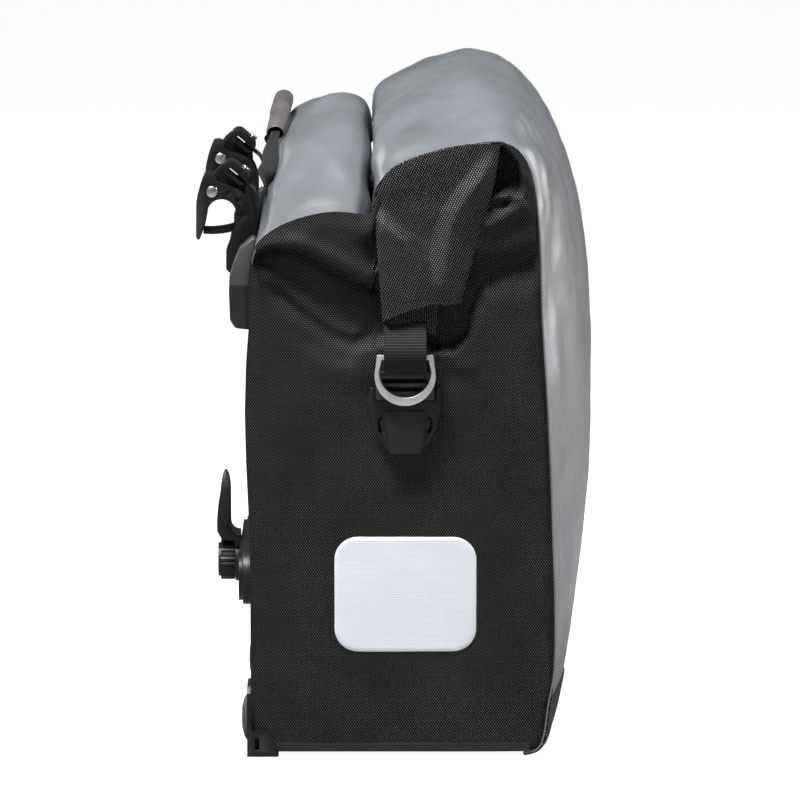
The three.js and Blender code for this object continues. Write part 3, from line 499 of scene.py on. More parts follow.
def finish_mesh(name, points, faces, material, body, replaces=(), cloth=None, mirror=1, angle=60):
    """A piece from points in millimetres. mirror is -1 for the right-hand one."""
    points = np.array(points, float).reshape(-1, 3) * MM
    if mirror < 0:
        points = points * [1, -1, 1]
        faces = [tuple(reversed(f)) for f in faces]
    mesh = bpy.data.meshes.new(name)
    mesh.from_pydata(points.tolist(), [], [tuple(int(i) for i in f) for f in faces])
    mesh.validate()
    if cloth is not None:
        attribute = mesh.attributes.new("cloth", "FLOAT_VECTOR", "POINT")
        cloth = np.array(cloth, float).reshape(-1, 2)
        flat = np.column_stack([cloth, np.zeros(len(cloth))]).astype(np.float32)
        attribute.data.foreach_set("vector", flat.ravel())
    mesh.materials.append(material)
    mesh.shade_smooth()
    mesh.set_sharp_from_angle(angle=math.radians(angle))
    piece = bpy.data.objects.new(name, mesh)
    bpy.context.scene.collection.objects.link(piece)
    if body:
        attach(piece, body)
    if replaces:
        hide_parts(*replaces)
    return piece


def grid_faces(rows, columns, start=0, flip=False):
    faces = []
    for j in range(rows - 1):
        for i in range(columns - 1):
            a = start + j * columns + i
            quad = (a, a + 1, a + columns + 1, a + columns)
            faces.append(quad[::-1] if flip else quad)
    return faces


def rim_of(rows, columns):
    rim = [i for i in range(columns)]
    rim += [j * columns + columns - 1 for j in range(1, rows)]
    rim += [(rows - 1) * columns + i for i in range(columns - 2, -1, -1)]
    rim += [j * columns for j in range(rows - 2, 0, -1)]
    return rim


def skin(
    name, outer, thickness, outward, material, body,
    replaces=(), cloth=None, mirror=1, angle=60, inner=None,
):
    """A closed sheet: an outer grid of points, which looks along outward, and an inner one behind it."""
    rows, columns = outer.shape[:2]
    n = normals_of(outer)
    facing = np.sign((n * np.asarray(outward, float)).sum())
    n = n * facing
    if inner is None:
        inner = outer - n * thickness
    points = np.concatenate([outer.reshape(-1, 3), inner.reshape(-1, 3)])
    under = rows * columns
    faces = grid_faces(rows, columns, 0, facing < 0) + grid_faces(rows, columns, under, facing > 0)
    rim = rim_of(rows, columns)
    for a, b in zip(rim, rim[1:] + rim[:1]):
        quad = (b, a, under + a, under + b)
        faces.append(quad if facing > 0 else quad[::-1])
    if cloth is not None:
        flat = np.asarray(cloth, float).reshape(-1, 2)
        cloth = np.concatenate([flat, flat])
    return finish_mesh(name, points, faces, material, body, replaces, cloth, mirror, angle)


def leaned(x, out, v):
    """From a side's own upright plane, out being outwards and v up along it, to the bag's frame."""
    c, s = math.cos(LEAN), math.sin(LEAN)
    return np.stack(np.broadcast_arrays(x, -HALF_BASE - out * c - v * s, v * c - out * s), axis=-1)


def side_half(z):
    return HALF_BASE + FLARE * z


# ---------------------------------------------------------------- grey front and roll: one sheet of tarpaulin

# Profiles of the sheet at the bag's middle and at its ends, [x, z], from the base up and over the roll.
SHEET_MIDDLE = [
    [82, 0.7], [91, 3.5], [95.6, 11], [100.5, 30], [105.3, 56], [111.4, 100], [116, 143], [118.6, 188],
    [118.6, 235], [115.6, 287], [108.6, 331], [98, 362], [83, 388], [67, 404.5], [50, 411], [27, 408],
    [4, 398.5], [-9.5, 389.5], [-13, 377.5], [-12.6, 360],
]
SHEET_END = [
    [76, 0.9], [85, 4], [88.8, 13], [91, 30], [94.8, 54], [95, 92], [93.6, 132], [92, 174],
    [90, 214], [86.7, 266], [85.2, 309], [82.4, 340], [77, 360], [66, 371], [46, 371], [24, 367],
    [1, 358.5], [-10.5, 347], [-14, 334], [-13, 316],
]


def front_surface(s, k):
    """The front's and the roll's surface, its normals and its flat coordinates.

    s runs from 0 to 1 up the profiles, and k from -1 to 1 across.
    """
    middle, end = spline(SHEET_MIDDLE, s), spline(SHEET_END, s)
    q = np.abs(k) ** 2.1
    xz = middle[:, None] + (end - middle)[:, None] * q[None, :, None]
    valley = smoothstep(-end[:, 0], 8, 14) * smoothstep(end[:, 1], 0, 300)
    half = side_half(np.minimum(end[:, 1], 372)) - 9 * valley
    y = k[None] * half[:, None]
    grid = np.stack([xz[..., 0], y, xz[..., 1]], axis=-1)
    n = normals_of(grid)
    n *= np.sign((n * [1, 0, 0.2]).sum())
    fine = spline(SHEET_MIDDLE, np.linspace(0, 1, 500))
    run = np.concatenate([[0], np.cumsum(np.linalg.norm(np.diff(fine, axis=0), axis=1))])
    length = np.interp(s, np.linspace(0, 1, 500), run)
    inside = 1 - smoothstep(np.abs(k), 0.93, 1.0)
    # soft dents, and tension folds that fan out of the ends of the roll
    relief = 1.7 * rough(grid, 55, 1) + 1.1 * rough(grid * [1, 0.35, 1], 24, 2) + 0.5 * rough(grid, 11, 9)
    over = smoothstep(length, 330, 380)[:, None] * (1 - smoothstep(length, 520, 560))[:, None]
    reach = smoothstep(np.abs(k), 0.35, 0.9)[None]
    near_ends = np.exp(-((np.abs(k)[None] - 0.82) / 0.2) ** 2)
    fan = np.sin(length[:, None] / 9.5 + 5 * rough(grid, 60, 3)) * near_ends
    crumple = 1 - 3 * np.abs(rough(grid * [1, 0.45, 1], 34, 7))
    relief = relief + 1.5 * fan * over * reach + 1.1 * crumple * over
    # wide soft hollows down the front, between the ridges that the contents push out
    swell = np.sin((grid[..., 2] - 50) / 40) * np.exp(-((np.abs(k)[None] - 0.78) / 0.2) ** 2)
    relief = relief + 3.4 * swell * smoothstep(grid[..., 2], 40, 90) * smoothstep(345 - grid[..., 2], 0, 40)
    # long upright buckles near the side seams of the front
    low = (1 - over) * np.exp(-((np.abs(k)[None] - 0.86) / 0.09) ** 2)
    buckles = 0.9 * low * np.sin(length[:, None] / 38 + 2.0 + 3 * rough(grid, 120, 5))
    relief = (0.5 + 0.5 * over) * relief + buckles
    grid = grid + n * (relief * inside)[..., None]
    cloth = np.stack(np.broadcast_arrays(y, length[:, None]), axis=-1)
    return grid, n, cloth


def grey_sheet():
    grid, _, cloth = front_surface(np.linspace(0, 1, 190), np.linspace(-1, 1, 131))
    piece = skin(
        "grey_front_and_roll", grid, CLOTH_THICKNESS, (1, 0, 0.2), TARPAULIN, "bag",
        ("front_panel", "roll_top"), cloth,
    )


def front_band():
    """The black base cloth, turned up over the foot of the grey front."""
    heights = np.array(SHEET_MIDDLE, float)[:, 1]
    top = np.interp(BAND_TOP, heights[:5], np.arange(5)) / (len(heights) - 1)
    grid, n, cloth = front_surface(np.linspace(0, top, 26), np.linspace(-1, 1, 101))
    grid = grid + n * 1.0
    grid[..., 2] = np.maximum(grid[..., 2], 0.05)
    skin("front_base_band", grid, 0.9, (1, 0, 0.2), WEAVE, "bag", (), cloth)


BACK_TOP = [
    [BACK, 290], [-77.6, 324], [-67.6, 366], [-52.6, 380], [-35.6, 385], [-22, 382.5], [-16.4, 374],
    [-15.6, 356],
]
BACK_END = [
    [BACK, 290], [-83.8, 304.5], [-78, 315], [-64.6, 324], [-46, 330], [-30, 331], [-17.5, 327], [-15.8, 310],
]


def back_sheet():
    """The back panel: flat against the rails, then rounded over towards the roll."""
    straight = 56
    z = np.linspace(HEM, 284, straight)
    s = np.linspace(0, 1, 74)
    middle = np.concatenate([np.column_stack([np.full(straight, BACK), z]), spline(BACK_TOP, s)])
    end = np.concatenate([np.column_stack([np.full(straight, BACK), z]), spline(BACK_END, s)])
    k = np.linspace(-1, 1, 101)
    q = np.abs(k) ** 2.1
    xz = middle[:, None] + (end - middle)[:, None] * q[None, :, None]
    tucked = 1 - smoothstep(end[:, 1], 296, 306)
    half = side_half(end[:, 1]) + 0.4 - 2.4 * tucked - 9 * smoothstep(end[:, 0], -24, -16)
    y = k[None] * half[:, None]
    edge = np.array(BACK_EDGE, float)
    pushed = (np.interp(end[:, 1], edge[:, 0], edge[:, 1]) - BACK) * tucked
    grid = np.stack([xz[..., 0] - 0.3 + pushed[:, None] * np.abs(k)[None] ** 6, y, xz[..., 1]], axis=-1)
    n = normals_of(grid)
    n *= np.sign((n * [-1, 0, 0.1]).sum())
    length = np.concatenate([[0], np.cumsum(np.linalg.norm(np.diff(middle, axis=0), axis=1))])
    upper = smoothstep(length, 318, 345)[:, None]
    inside = 1 - smoothstep(np.abs(k), 0.93, 1.0)
    crumple = 1 - 3 * np.abs(rough(grid * [1, 0.45, 1], 30, 17))
    relief = upper * (1.6 * rough(grid, 48, 11) + 0.9 * rough(grid * [1, 0.4, 1], 20, 12) + 1.1 * crumple)
    near_ends = np.exp(-((np.abs(k)[None] - 0.85) / 0.15) ** 2)
    fan = np.sin(length[:, None] / 8 + 4 * rough(grid, 50, 13)) * near_ends
    relief = relief + 0.6 * fan * upper
    grid = grid + n * (relief * inside)[..., None]
    cloth = np.stack(np.broadcast_arrays(y, length[:, None]), axis=-1)
    piece = skin(
        "grey_back", grid, CLOTH_THICKNESS, (-1, 0, 0.1), TARPAULIN, "bag",
        ("back_panel",), cloth,
    )


def bottom_sheet():
    k = np.linspace(-1, 1, 61)
    u = np.linspace(0, 1, 61)
    front = 77 + 6 * (1 - k**2)
    X = (BACK + 0.6) * (1 - u)[None] + np.outer(front, u)
    Y = np.outer(k, np.full(61, HALF_BASE - 0.4))
    bump = (16 * np.outer((1 + k) * (1 - k) / 4, u * (1 - u))) ** 1.5
    Z = np.maximum(0.05, 2.6 - 14 * bump)
    grid = np.stack([X, Y, Z], axis=-1)
    cloth = np.stack([X, Y], axis=-1)
    piece = skin("base_sheet", grid, 1.4, (0, 0, -1), WEAVE, "bag", ("bottom_panel",), cloth)


# ---------------------------------------------------------------- black sides

# Upper edge of the side fabric from back to front, [x, z]: over the back's bulge, then along the roll's end.
SIDE_TOP = [
    [BACK, 290], [-83.8, 304.5], [-78, 315], [-64.6, 324], [-46, 330], [-30, 331], [-18, 329.5], [-13.8, 334],
    [-10.5, 347], [1, 358.5], [24, 367], [46, 371], [66, 371.2], [77, 360.5], [82, 341], [84.4, 320],
    [84.9, 300],
]

# The side stands out below this line; the strap draws it in above: [x, z], and the slope's width at x.
DRAWN_IN = [
    [-88, 304], [-81, 291], [-74, 282], [-58, 268], [-46, 260], [-38, 254], [-24, 250], [-9, 254], [6, 254.5],
    [22, 248.5], [34, 248.5], [42, 256], [45.5, 270], [52, 282], [66, 288], [90, 293],
]
DRAWN_IN_WIDTH = [[-88, 9], [-30, 11], [20, 7], [43, 6], [54, 16], [70, 27], [90, 30]]
DRAWN_IN_DEPTH = 7.0

# The cloth above each of these lines hangs over it: [x, z], how far out, the turn's width, and its span of x.
OVERHANGS = [
    (
        [
            [-90, 303.5], [-83, 306], [-74, 309.7], [-59, 309], [-47, 303],
            [-34, 295.5], [-19, 288], [-9, 283], [6, 277],
        ],
        9.5, 3.6, (-92, 0),
    ),
    ([[40, 302], [57, 304.5], [70, 306.5], [90, 311]], 8.5, 11, (40, 92)),
]

# Folds and creases of the side fabric: line of [x, z], width, height, and how soon it dies away at its ends.
SIDE_FOLDS = [
    (
        [[-84, 304.5], [-72, 308], [-59, 307], [-47, 301], [-34, 293.5], [-19, 286], [-9, 281.5]],
        2.5, -2.4, 0.06,
    ),
    ([[-70, 315], [-52, 312], [-38, 305.5], [-24, 298], [-9, 291.5]], 4, 2.2, 0.15),
    ([[-15, 318], [-12, 308], [-8, 298]], 7, -4.5, 0.1),
    ([[51, 320.5], [62, 327], [70, 332.5], [78, 336]], 4, 3.2, 0.1),
    ([[52, 332], [60, 335.5], [68, 337.5]], 2.6, -3.2, 0.2),
    ([[56, 341], [67, 343], [76, 339]], 3.6, 2.2, 0.15),
    ([[79, 358], [82.5, 345], [84, 325]], 4, 2.5, 0.2),
    ([[-84, 299], [-68, 287], [-50, 271.5], [-36, 261], [-18, 254.5]], 4.5, 3.2, 0.1),
    ([[-80, 289], [-60, 262], [-40, 248], [-20, 243]], 7, -2.2, 0.15),
    ([[24, 252], [36, 240], [52, 236]], 6, 2.0, 0.3),
    ([[-58, 250], [-30, 236], [0, 234]], 10, 1.6, 0.3),
    ([[60, 250], [74, 200], [80, 150]], 12, 1.5, 0.4),
    ([[-78, 250], [-70, 190], [-76, 120]], 14, 1.2, 0.4),
]


# The hollow inside the roll's end, ahead of the flap: its front edge and its floor, [x, z].
HOLLOW_FRONT = [[74.5, 340], [74, 350], [71, 361], [64, 369.5]]
HOLLOW_FLOOR = [[50, 339], [62, 342.5], [72, 341.5], [80, 340]]
HOLLOW_DEPTH = 13.0


def above(x, z, line, width):
    """0 below a line of [x, z], 1 above it, turning over the width."""
    line = np.array(line, float)
    distance, _ = to_line(x, z, line)
    signed = np.where(z > np.interp(x, line[:, 0], line[:, 1]), distance, -distance)
    return smoothstep(signed / width, -0.5, 0.5)


def side_relief(x, z):
    """How far the side fabric stands out of its plane."""
    widths = np.array(DRAWN_IN_WIDTH, float)
    height = -DRAWN_IN_DEPTH * above(x, z, DRAWN_IN, np.interp(x, widths[:, 0], widths[:, 1]))
    for line, out, width, (start, end) in OVERHANGS:
        reach = smoothstep(x, start, start + 8)
        height = height + out * above(x, z, line, width) * reach * smoothstep(end - x, 0, 12)
    for line, width, rise, fade in SIDE_FOLDS:
        height = height + fold(x, z, line, width, rise, fade)
    front, floor = np.array(HOLLOW_FRONT, float), np.array(HOLLOW_FLOOR, float)
    behind = smoothstep(np.interp(z, front[:, 1], front[:, 0]) - x, -1, 3.5)
    over = smoothstep(z - np.interp(x, floor[:, 0], floor[:, 1]), -2.5, 4.5)
    height = height - HOLLOW_DEPTH * behind * over * smoothstep(x, 44, 50) * (z < 372)
    points = np.stack([x, z, np.zeros(np.shape(x))], axis=-1)
    calm = smoothstep(z, 150, 300)
    height = height + (0.5 + 0.7 * calm) * rough(points, 42, 21) + 0.35 * (0.3 + calm) * rough(points, 15, 22)
    belly = np.clip(1 - ((x - 1) / 88) ** 2, 0, 1) * np.clip(1 - ((z - 150) / 150) ** 2, 0, 1)
    return height + 2.0 * belly


def front_at(z):
    edge = np.array(FRONT_EDGE, float)
    return np.interp(z, edge[:, 0], edge[:, 1])


def back_at(z):
    edge = np.array(BACK_EDGE, float)
    return np.interp(z, edge[:, 0], edge[:, 1])


def side_edge(x, z):
    """1 well inside the side fabric, falling to 0 at its back, front and lower edges."""
    to_edge = np.minimum(np.minimum(x - back_at(z), front_at(z) - x), z - HEM + 1)
    return smoothstep(to_edge, 0, 7)


def side_sheet(side, mirror):
    columns, rows = 150, 210
    u = 0.5 - 0.5 * np.cos(np.pi * np.linspace(0, 1, columns))
    u = 0.6 * u + 0.4 * np.linspace(0, 1, columns)
    last = SIDE_TOP[-1][0]
    x = BACK + (last - BACK) * u
    fine = spline(SIDE_TOP, np.linspace(0, 1, 500))
    top = np.interp(x, np.maximum.accumulate(fine[:, 0]) + np.arange(500) * 1e-6, fine[:, 1])
    v = np.linspace(0, 1, rows)
    Z = HEM - 0.6 + (top - HEM + 0.6)[None] * v[:, None]
    ahead = (front_at(Z) - last) * smoothstep(u, 0.45, 1)[None]
    behind = (back_at(Z) - 0.9 - BACK) * (1 - smoothstep(u, 0, 0.4))[None]
    X = x[None] + ahead + behind
    edge = side_edge(X, Z)
    rim = smoothstep(top[None] - Z, -2, 11)
    out = PROUD + side_relief(X, Z) * edge * rim - 1.6 * (1 - edge) ** 2
    grid = leaned(X, out, (Z + out * math.sin(LEAN)) / math.cos(LEAN))
    cloth = np.stack([X, Z], axis=-1)
    piece = skin(
        f"{side}_side_fabric", grid, CLOTH_THICKNESS, (0, -1, 0), WEAVE, "bag",
        (f"{side}_side_panel",), cloth, mirror,
    )


def band(name, line, width, rise, mirror, material=None, base=PROUD):
    """A rounded strip lying on the side's plane, along a line of [x, z]."""
    path = even(line, 160)
    along = np.gradient(path, axis=0)
    along /= np.linalg.norm(along, axis=1, keepdims=True)
    across = np.column_stack([-along[:, 1], along[:, 0]])
    steps = np.linspace(-1, 1, 9)
    x = path[:, 0, None] + across[:, 0, None] * steps * width / 2
    z = path[:, 1, None] + across[:, 1, None] * steps * width / 2
    out = base + rise * np.sqrt(np.clip(1 - steps**4, 0, 1))[None] + 0 * x
    grid = leaned(x, out, z / math.cos(LEAN))
    inner = leaned(x, out * 0 - 1.0, z / math.cos(LEAN))
    length = np.concatenate([[0], np.cumsum(np.linalg.norm(np.diff(path, axis=0), axis=1))])
    cloth = np.stack(np.broadcast_arrays(steps[None] * width / 2, length[:, None]), axis=-1)
    skin(name, grid, 1.0, (0, -1, 0), material or WELD, "bag", (), cloth, mirror, inner=inner)


def side_welds(side, mirror):
    band(f"{side}_base_weld", [[BACK + 8, 5.6], [-40, 5.6], [10, 5.6], [50, 5.6], [80, 5.8]], 6, 0.5, mirror)


# ---------------------------------------------------------------- folded ends of the roll

FLAP_TOP = [[-14.6, 329], [-12.6, 339], [-8, 350], [1, 358.6], [23, 366.8], [43.5, 370.6], [61, 371.5]]
FLAP_BOTTOM = [[-7.6, 266.5], [3, 271.2], [14, 275], [24.6, 277], [28, 276.2], [38.1, 276.5]]
FLAP_LEFT = [[-14.6, 329], [-11.9, 319], [-10.6, 301], [-9.2, 283.5], [-7.6, 266.5]]
FLAP_RIGHT = [[61, 371.5], [58.6, 354], [55.7, 340.5], [52.3, 328], [46.5, 307.5], [43.3, 296], [38.1, 276.5]]

# The flap's ridge, from where it leaves the roll to its lowest corner, and the line of the fold at its left.
FLAP_RIDGE = [[62, 372], [52, 358], [41, 342.5], [34, 332], [30, 318], [28, 305], [26.8, 290], [25.8, 276]]
FLAP_LEFT_ARM = [[-14, 334], [-4, 324], [8, 315], [16, 303], [22, 288], [25.8, 276]]


def coons(top, bottom, left, right, rows, columns):
    """A surface patch between four edges; rows run from top to bottom."""
    t, b = even(top, columns), even(bottom, columns)
    l, r = even(left, rows), even(right, rows)
    u = np.linspace(0, 1, columns)[None, :, None]
    v = np.linspace(0, 1, rows)[:, None, None]
    ruled = (1 - v) * t[None] + v * b[None] + (1 - u) * l[:, None] + u * r[:, None]
    corners = (1 - u) * (1 - v) * t[0] + u * (1 - v) * t[-1] + (1 - u) * v * b[0] + u * v * b[-1]
    return ruled - corners, u[..., 0], v[..., 0]


def roll_flap(side, mirror):
    """The roll's end, folded flat and drawn down to the buckle's strap."""
    patch, u, v = coons(FLAP_TOP, FLAP_BOTTOM, FLAP_LEFT, FLAP_RIGHT, 110, 90)
    x, z = patch[..., 0], patch[..., 1]
    level = np.interp(z, *np.array(FLAP_RIDGE, float)[::-1, ::-1].T)  # the ridge's x at this height
    right = smoothstep(x - level, -1, 15)
    arm = np.interp(z, *np.array(FLAP_LEFT_ARM, float)[::-1, ::-1].T)
    hollow = smoothstep((x - arm) / 10, -0.5, 0.7) * smoothstep((level - x) / 11, -0.35, 0.8)
    hollow = hollow * (1 - 0.6 * smoothstep(v, 0.5, 0.95)) * smoothstep(v, 0.02, 0.3)
    points = np.stack([x, z, np.zeros(x.shape)], axis=-1)
    loose = 0.6 * rough(points, 22, 31) + 0.25 * rough(points, 8, 32)
    inside = smoothstep(u, 0, 0.1) * smoothstep(1 - u, 0, 0.08) * smoothstep(v, 0, 0.15)
    inside = inside * (1 - 0.8 * smoothstep(v, 0.85, 1))
    lift = 1.8 + 7.2 * smoothstep(v, 0, 0.3)
    ridges = fold(x, z, FLAP_RIDGE, 5, 1.8, 0.1) + fold(x, z, FLAP_LEFT_ARM, 7, 0.9, 0.15)
    out = lift - 7.4 * hollow - 5.4 * right**1.3 + (loose + ridges) * inside
    out = out - 3.2 * (1 - smoothstep(u, 0, 0.09)) ** 2 - 1.5 * (1 - smoothstep(1 - u, 0, 0.05)) ** 2
    c = math.cos(LEAN)
    grid = leaned(x, out, (z + out * math.sin(LEAN)) / c)
    back = np.maximum(0.3, np.minimum(out - 1.5, 5.0 * smoothstep(v, 0.55, 0.95)))
    inner = leaned(x, back, (z + back * math.sin(LEAN)) / c)
    cloth = np.stack([x * 0.98 + z * 0.17, z * 0.98 - x * 0.17], axis=-1)
    # the flap's weave is the side weave with a painted highlight, drawn lighter
    skin(
        f"{side}_roll_flap", grid, CLOTH_THICKNESS, (0, -1, 0), FLAP_WEAVE_PAINTED_HIGHLIGHT, "bag",
        (f"{side}_roll_end",), cloth, mirror, 50, inner,
    )


def roll_tab(side, mirror):
    """The small end of folded fabric that the strap is sewn to."""
    top, bottom = [[-5, 271], [6, 275], [16, 277], [25, 277]], [[-5, 264.5], [5, 264], [14, 262], [23, 258.5]]
    left, right = [[-5, 271], [-5, 267], [-5, 264.5]], [[25, 277], [24.5, 268], [23, 258.5]]
    patch, u, v = coons(top, bottom, left, right, 20, 30)
    x, z = patch[..., 0], patch[..., 1]
    out = 2.9 + 1.9 * smoothstep(v, 0.1, 0.9) - 0.8 * u + 0 * x
    grid = leaned(x, out, z / math.cos(LEAN))
    cloth = np.stack([x * 0.8 + z * 0.6, z * 0.8 - x * 0.6], axis=-1)
    # the tab shares the flap's weave, with its painted highlight
    skin(f"{side}_strap_tab", grid, 1.2, (0, -1, 0), FLAP_WEAVE_PAINTED_HIGHLIGHT, "bag", (), cloth, mirror, 50)


# ---------------------------------------------------------------- webbing


def webbing(name, centres, across, width, thickness, body, replaces, mirror=1, material=None):
    """Flat webbing with rounded edges along a row of points; across gives its width's direction at each."""
    centres = np.asarray(centres, float)
    along = np.gradient(centres, axis=0)
    along /= np.linalg.norm(along, axis=1, keepdims=True)
    across = np.asarray(across, float)
    across = across - along * (across * along).sum(1, keepdims=True)
    across /= np.linalg.norm(across, axis=1, keepdims=True)
    face = np.cross(across, along)
    width = np.broadcast_to(width, len(centres))
    thickness = np.broadcast_to(thickness, len(centres))
    angles = np.linspace(0, 2 * np.pi, 24, endpoint=False)
    c, s = np.cos(angles), np.sin(angles)
    flat = np.sign(c) * np.abs(c) ** 0.28
    high = np.sign(s) * np.abs(s) ** 0.55
    ring = centres[:, None] + across[:, None] * (flat[None, :, None] * width[:, None, None] / 2)
    ring = ring + face[:, None] * (high[None, :, None] * thickness[:, None, None] / 2)
    rows, count = ring.shape[:2]
    faces = []
    for j in range(rows - 1):
        for i in range(count):
            k = (i + 1) % count
            faces.append((j * count + i, j * count + k, (j + 1) * count + k, (j + 1) * count + i))
    faces.append(tuple(range(count))[::-1])
    faces.append(tuple((rows - 1) * count + i for i in range(count)))
    length = np.concatenate([[0], np.cumsum(np.linalg.norm(np.diff(centres, axis=0), axis=1))])
    cloth = np.stack(np.broadcast_arrays(flat[None] * width[:, None] / 2, length[:, None]), axis=-1)
    points = ring.reshape(-1, 3)
    volume = 0.0
    for f in faces[:count]:
        a, b, d = points[f[0]], points[f[1]], points[f[2]]
        middle = centres[0]
        volume += np.dot(a - middle, np.cross(b - middle, d - middle))
    if volume < 0:
        faces = [tuple(reversed(f)) for f in faces]
    return finish_mesh(name, points, faces, material or WEBBING, body, replaces, cloth, mirror, 50)


def closure_strap(side, mirror):
    route = [
        [1.6, 279], [1.9, 272], [5.4, 264.5], [10.6, 257.4], [12.9, 252.4], [13.0, 247.4], [10.8, 241.6],
        [6.2, 238.8],
    ]
    count = 70
    path = even(route, count)
    centres = leaned(np.full(count, BUCKLE_X), path[:, 0], path[:, 1])
    across = np.tile([1.0, 0, 0], (count, 1))
    piece = webbing(
        f"{side}_webbing", centres, across, STRAP_WIDTH, STRAP_THICKNESS, None,
        (f"{side}_closure_strap",), mirror,
    )
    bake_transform(piece)


def lever_webbing(side, mirror):
    """The short length sewn into the lever's block."""
    route = [[10, 23], [14.4, 17.8], [18.8, 14], [20.7, 9], [21, 4]]
    count = 30
    path = even(route, count)
    centres = np.column_stack([JAW[0] + path[:, 0], np.full(count, -HOOK_Y), JAW[1] + path[:, 1]])
    across = np.tile([0, 1.0, 0], (count, 1))
    webbing(
        f"{side}_lever_webbing", centres, across, LEVER_STRAP_WIDTH, STRAP_THICKNESS, f"{side}_lever",
        (f"{side}_lever_strap",), mirror,
    )


GRIP = {"half": 55, "top": 382.5, "sagitta": 14.5, "x": -68, "lean": 4, "r": 5.5}


def arch(y):
    q = (y / GRIP["half"]) ** 2
    return [GRIP["x"] - GRIP["lean"] * q, y, GRIP["top"] - GRIP["sagitta"] * q]


def handle():
    down = [[-77.2, -HOOK_Y, 326], [-76.8, -HOOK_Y, 341], [-75.6, -88, 351.5], [-73.8, -70, 361.5]]
    over = [arch(k * GRIP["half"]) for k in (-1, -0.5, 0, 0.5, 1)]
    other = [[x, -y, z] for x, y, z in reversed(down)]
    count = 200
    path = even(down + over + other, count)
    t = np.linspace(0, 1, count)
    inward = np.minimum(t, 1 - t)
    folded = smoothstep(inward, 0.14, 0.25)
    along = np.gradient(path, axis=0)
    along /= np.linalg.norm(along, axis=1, keepdims=True)
    # the webbing turns its face to the side as it leaves the hook
    turned = smoothstep(inward, 0.04, 0.12)[:, None]
    across = np.cross(along, [1.0, 0, 0]) * (1 - turned) + np.array([1.0, 0, 0]) * turned
    wave = np.sin(inward * 60) * np.exp(-((inward - 0.1) / 0.06) ** 2) * 0.7
    path[:, 0] += wave
    width = LEVER_STRAP_WIDTH - 5 * turned[:, 0] - 4.4 * folded
    thickness = STRAP_THICKNESS + 1.2 * folded
    webbing("handle_webbing", path, across, width, thickness, "handle", ("handle_strap",))
    rings = []
    sides, steps = 32, 90
    ys = np.linspace(-GRIP["half"] - 1.2, GRIP["half"] + 1.2, steps)
    centres = np.array([arch(y) for y in ys])
    along = np.gradient(centres, axis=0)
    along /= np.linalg.norm(along, axis=1, keepdims=True)
    first = np.tile([1.0, 0, 0], (steps, 1))
    second = np.cross(along, first)
    angle = np.linspace(0, 2 * np.pi, sides, endpoint=False)
    edge = smoothstep(GRIP["half"] + 1.2 - np.abs(ys), 0, 1.6)
    radius = (GRIP["r"] - 0.7) + 0.7 * edge
    squeeze = 1 + 0.05 * np.cos(2 * angle)

    def circle(i, r):
        return centres[i] + first[i] * (np.cos(angle) * r)[:, None] + second[i] * (np.sin(angle) * r)[:, None]

    for i in range(steps):
        r = radius[i] * squeeze
        rings.append(circle(i, r))
    bore = 4.2
    inner = []
    for i in range(steps):
        r = bore + 0.5 * (1 - edge[i])
        inner.append(circle(i, r))
    loops = rings + inner[::-1]
    points = np.concatenate(loops)
    faces = []
    for j in range(len(loops)):
        k = (j + 1) % len(loops)
        for i in range(sides):
            m = (i + 1) % sides
            faces.append((j * sides + i, k * sides + i, k * sides + m, j * sides + m))
    finish_mesh("rubber_grip", points, faces, RUBBER, "handle", ("handle_grip",), None, 1, 40)


# ---------------------------------------------------------------- hard pieces


def rounded(node, material, radius, name=None, segments=2, sharp=32):
    """A copy of a CAD piece with its flat faces merged and its edges rounded, in the CAD piece's place."""
    source = frame["nodes"][node]
    mesh = source.data.copy()
    mesh.name = name or f"{node}_moulded"
    bm = bmesh.new()
    bm.from_mesh(mesh)
    bmesh.ops.remove_doubles(bm, verts=bm.verts, dist=1e-6)
    bmesh.ops.dissolve_limit(bm, angle_limit=math.radians(1.5), verts=bm.verts, edges=bm.edges)
    bmesh.ops.recalc_face_normals(bm, faces=bm.faces)
    bm.to_mesh(mesh)
    bm.free()
    mesh.materials.clear()
    mesh.materials.append(material)
    piece = bpy.data.objects.new(mesh.name, mesh)
    bpy.context.scene.collection.objects.link(piece)
    bevel = piece.modifiers.new("rounding", "BEVEL")
    bevel.width = radius * MM
    bevel.segments = segments
    bevel.limit_method = "ANGLE"
    bevel.angle_limit = math.radians(sharp)
    bevel.use_clamp_overlap = True
    graph = bpy.context.evaluated_depsgraph_get()
    final = bpy.data.meshes.new_from_object(piece.evaluated_get(graph))
    piece.modifiers.clear()
    piece.data = final
    final.name = mesh.name
    final.shade_smooth()
    final.set_sharp_from_angle(angle=math.radians(40))
    body = next(b for b, members in frame["record"]["behaviour"]["bodies"].items() if node in members)
    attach(piece, body)
    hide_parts(node)
    return piece


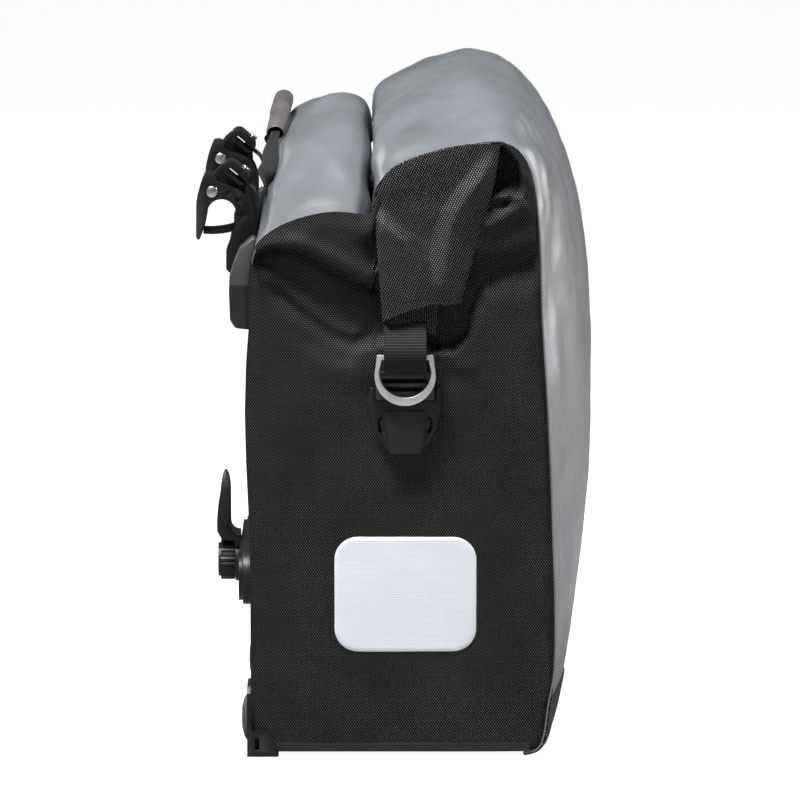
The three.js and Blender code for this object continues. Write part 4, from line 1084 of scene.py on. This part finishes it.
def hardware():
    for side, _ in SIDES:
        for name, radius in (
            ("hook_body", 0.6), ("hook_lever", 0.5), ("rail_cap", 1.6), ("buckle_plug", 0.5),
            ("buckle_socket", 0.7), ("corner_guard", 0.8),
        ):
            material = CAP_PLASTIC if name == "rail_cap" else PLASTIC
            rounded(f"{side}_{name}", material, radius)
        rounded(f"{side}_d_ring", RING_METAL, 0.8, segments=3, sharp=40)
        rounded(f"{side}_hook_pin", STEEL, 0.25)
        rounded(f"{side}_strap_screw", STEEL, 0.2)
        rounded(f"{side}_corner_bumper", DARK_GREY_PLASTIC, 0.3)
        for name in ("top_screw", "lever_spring", "clamp_nut", "clamp_screw", "low_screw"):
            frame["nodes"][f"{side}_{name}"].data.materials.clear()
            frame["nodes"][f"{side}_{name}"].data.materials.append(STEEL)
    rounded("top_rail", PLASTIC, 0.6)
    rounded("lower_rail", PLASTIC, 0.6)
    rounded("lower_hook", PLASTIC, 0.6)
    rounded("lower_knob", PLASTIC, 0.35, sharp=14)
    for name in ("lower_slider", "lower_stud"):
        frame["nodes"][name].data.materials.clear()
        frame["nodes"][name].data.materials.append(STEEL)
    for name in ("mouth_stiffener", "back_stiffener"):
        frame["nodes"][name].data.materials.clear()
        frame["nodes"][name].data.materials.append(PLASTIC)


def reflector(side, mirror):
    """The CAD film's outline as a slightly domed patch that follows the fabric."""
    half_w, half_h, corner = 42.0, 35.5, 14.0
    x0, v0 = 5.6, 101.0
    n = 61
    u, v = np.meshgrid(np.linspace(-1, 1, n), np.linspace(-1, 1, n))

    def squared(a, b):
        # a square grid drawn in towards rounded corners
        cx, cy = half_w - corner, half_h - corner
        x, y = a * half_w, b * half_h
        dx, dy = np.maximum(np.abs(x) - cx, 0), np.maximum(np.abs(y) - cy, 0)
        far = np.maximum(dx, dy)
        length = np.hypot(dx, dy)
        scale = np.where(length > 1e-9, far / np.maximum(length, 1e-9), 1)
        return np.sign(x) * (np.abs(x) - dx + dx * scale), np.sign(y) * (np.abs(y) - dy + dy * scale)

    x, y = squared(u, v)
    z = (v0 + y) * math.cos(LEAN)
    relief = side_relief(x0 + x, z) * side_edge(x0 + x, z)
    border = smoothstep(1 - np.maximum(np.abs(u), np.abs(v)), 0, 0.03)
    out = PROUD + relief + 0.15 + 0.45 * border
    grid = leaned(x0 + x, out, v0 + y)
    inner = leaned(x0 + x, PROUD + relief - 0.6, v0 + y)
    cloth = np.stack([x, y], axis=-1)
    skin(
        f"{side}_film", grid, 0.5, (0, -1, 0), REFLECTIVE, "bag", (f"{side}_reflector",), cloth,
        mirror, 50, inner,
    )


grey_sheet()
front_band()
back_sheet()
bottom_sheet()
for side, mirror in SIDES:
    side_sheet(side, mirror)
    side_welds(side, mirror)
    roll_flap(side, mirror)
    roll_tab(side, mirror)
    closure_strap(side, mirror)
    lever_webbing(side, mirror)
    reflector(side, mirror)
handle()
hardware()
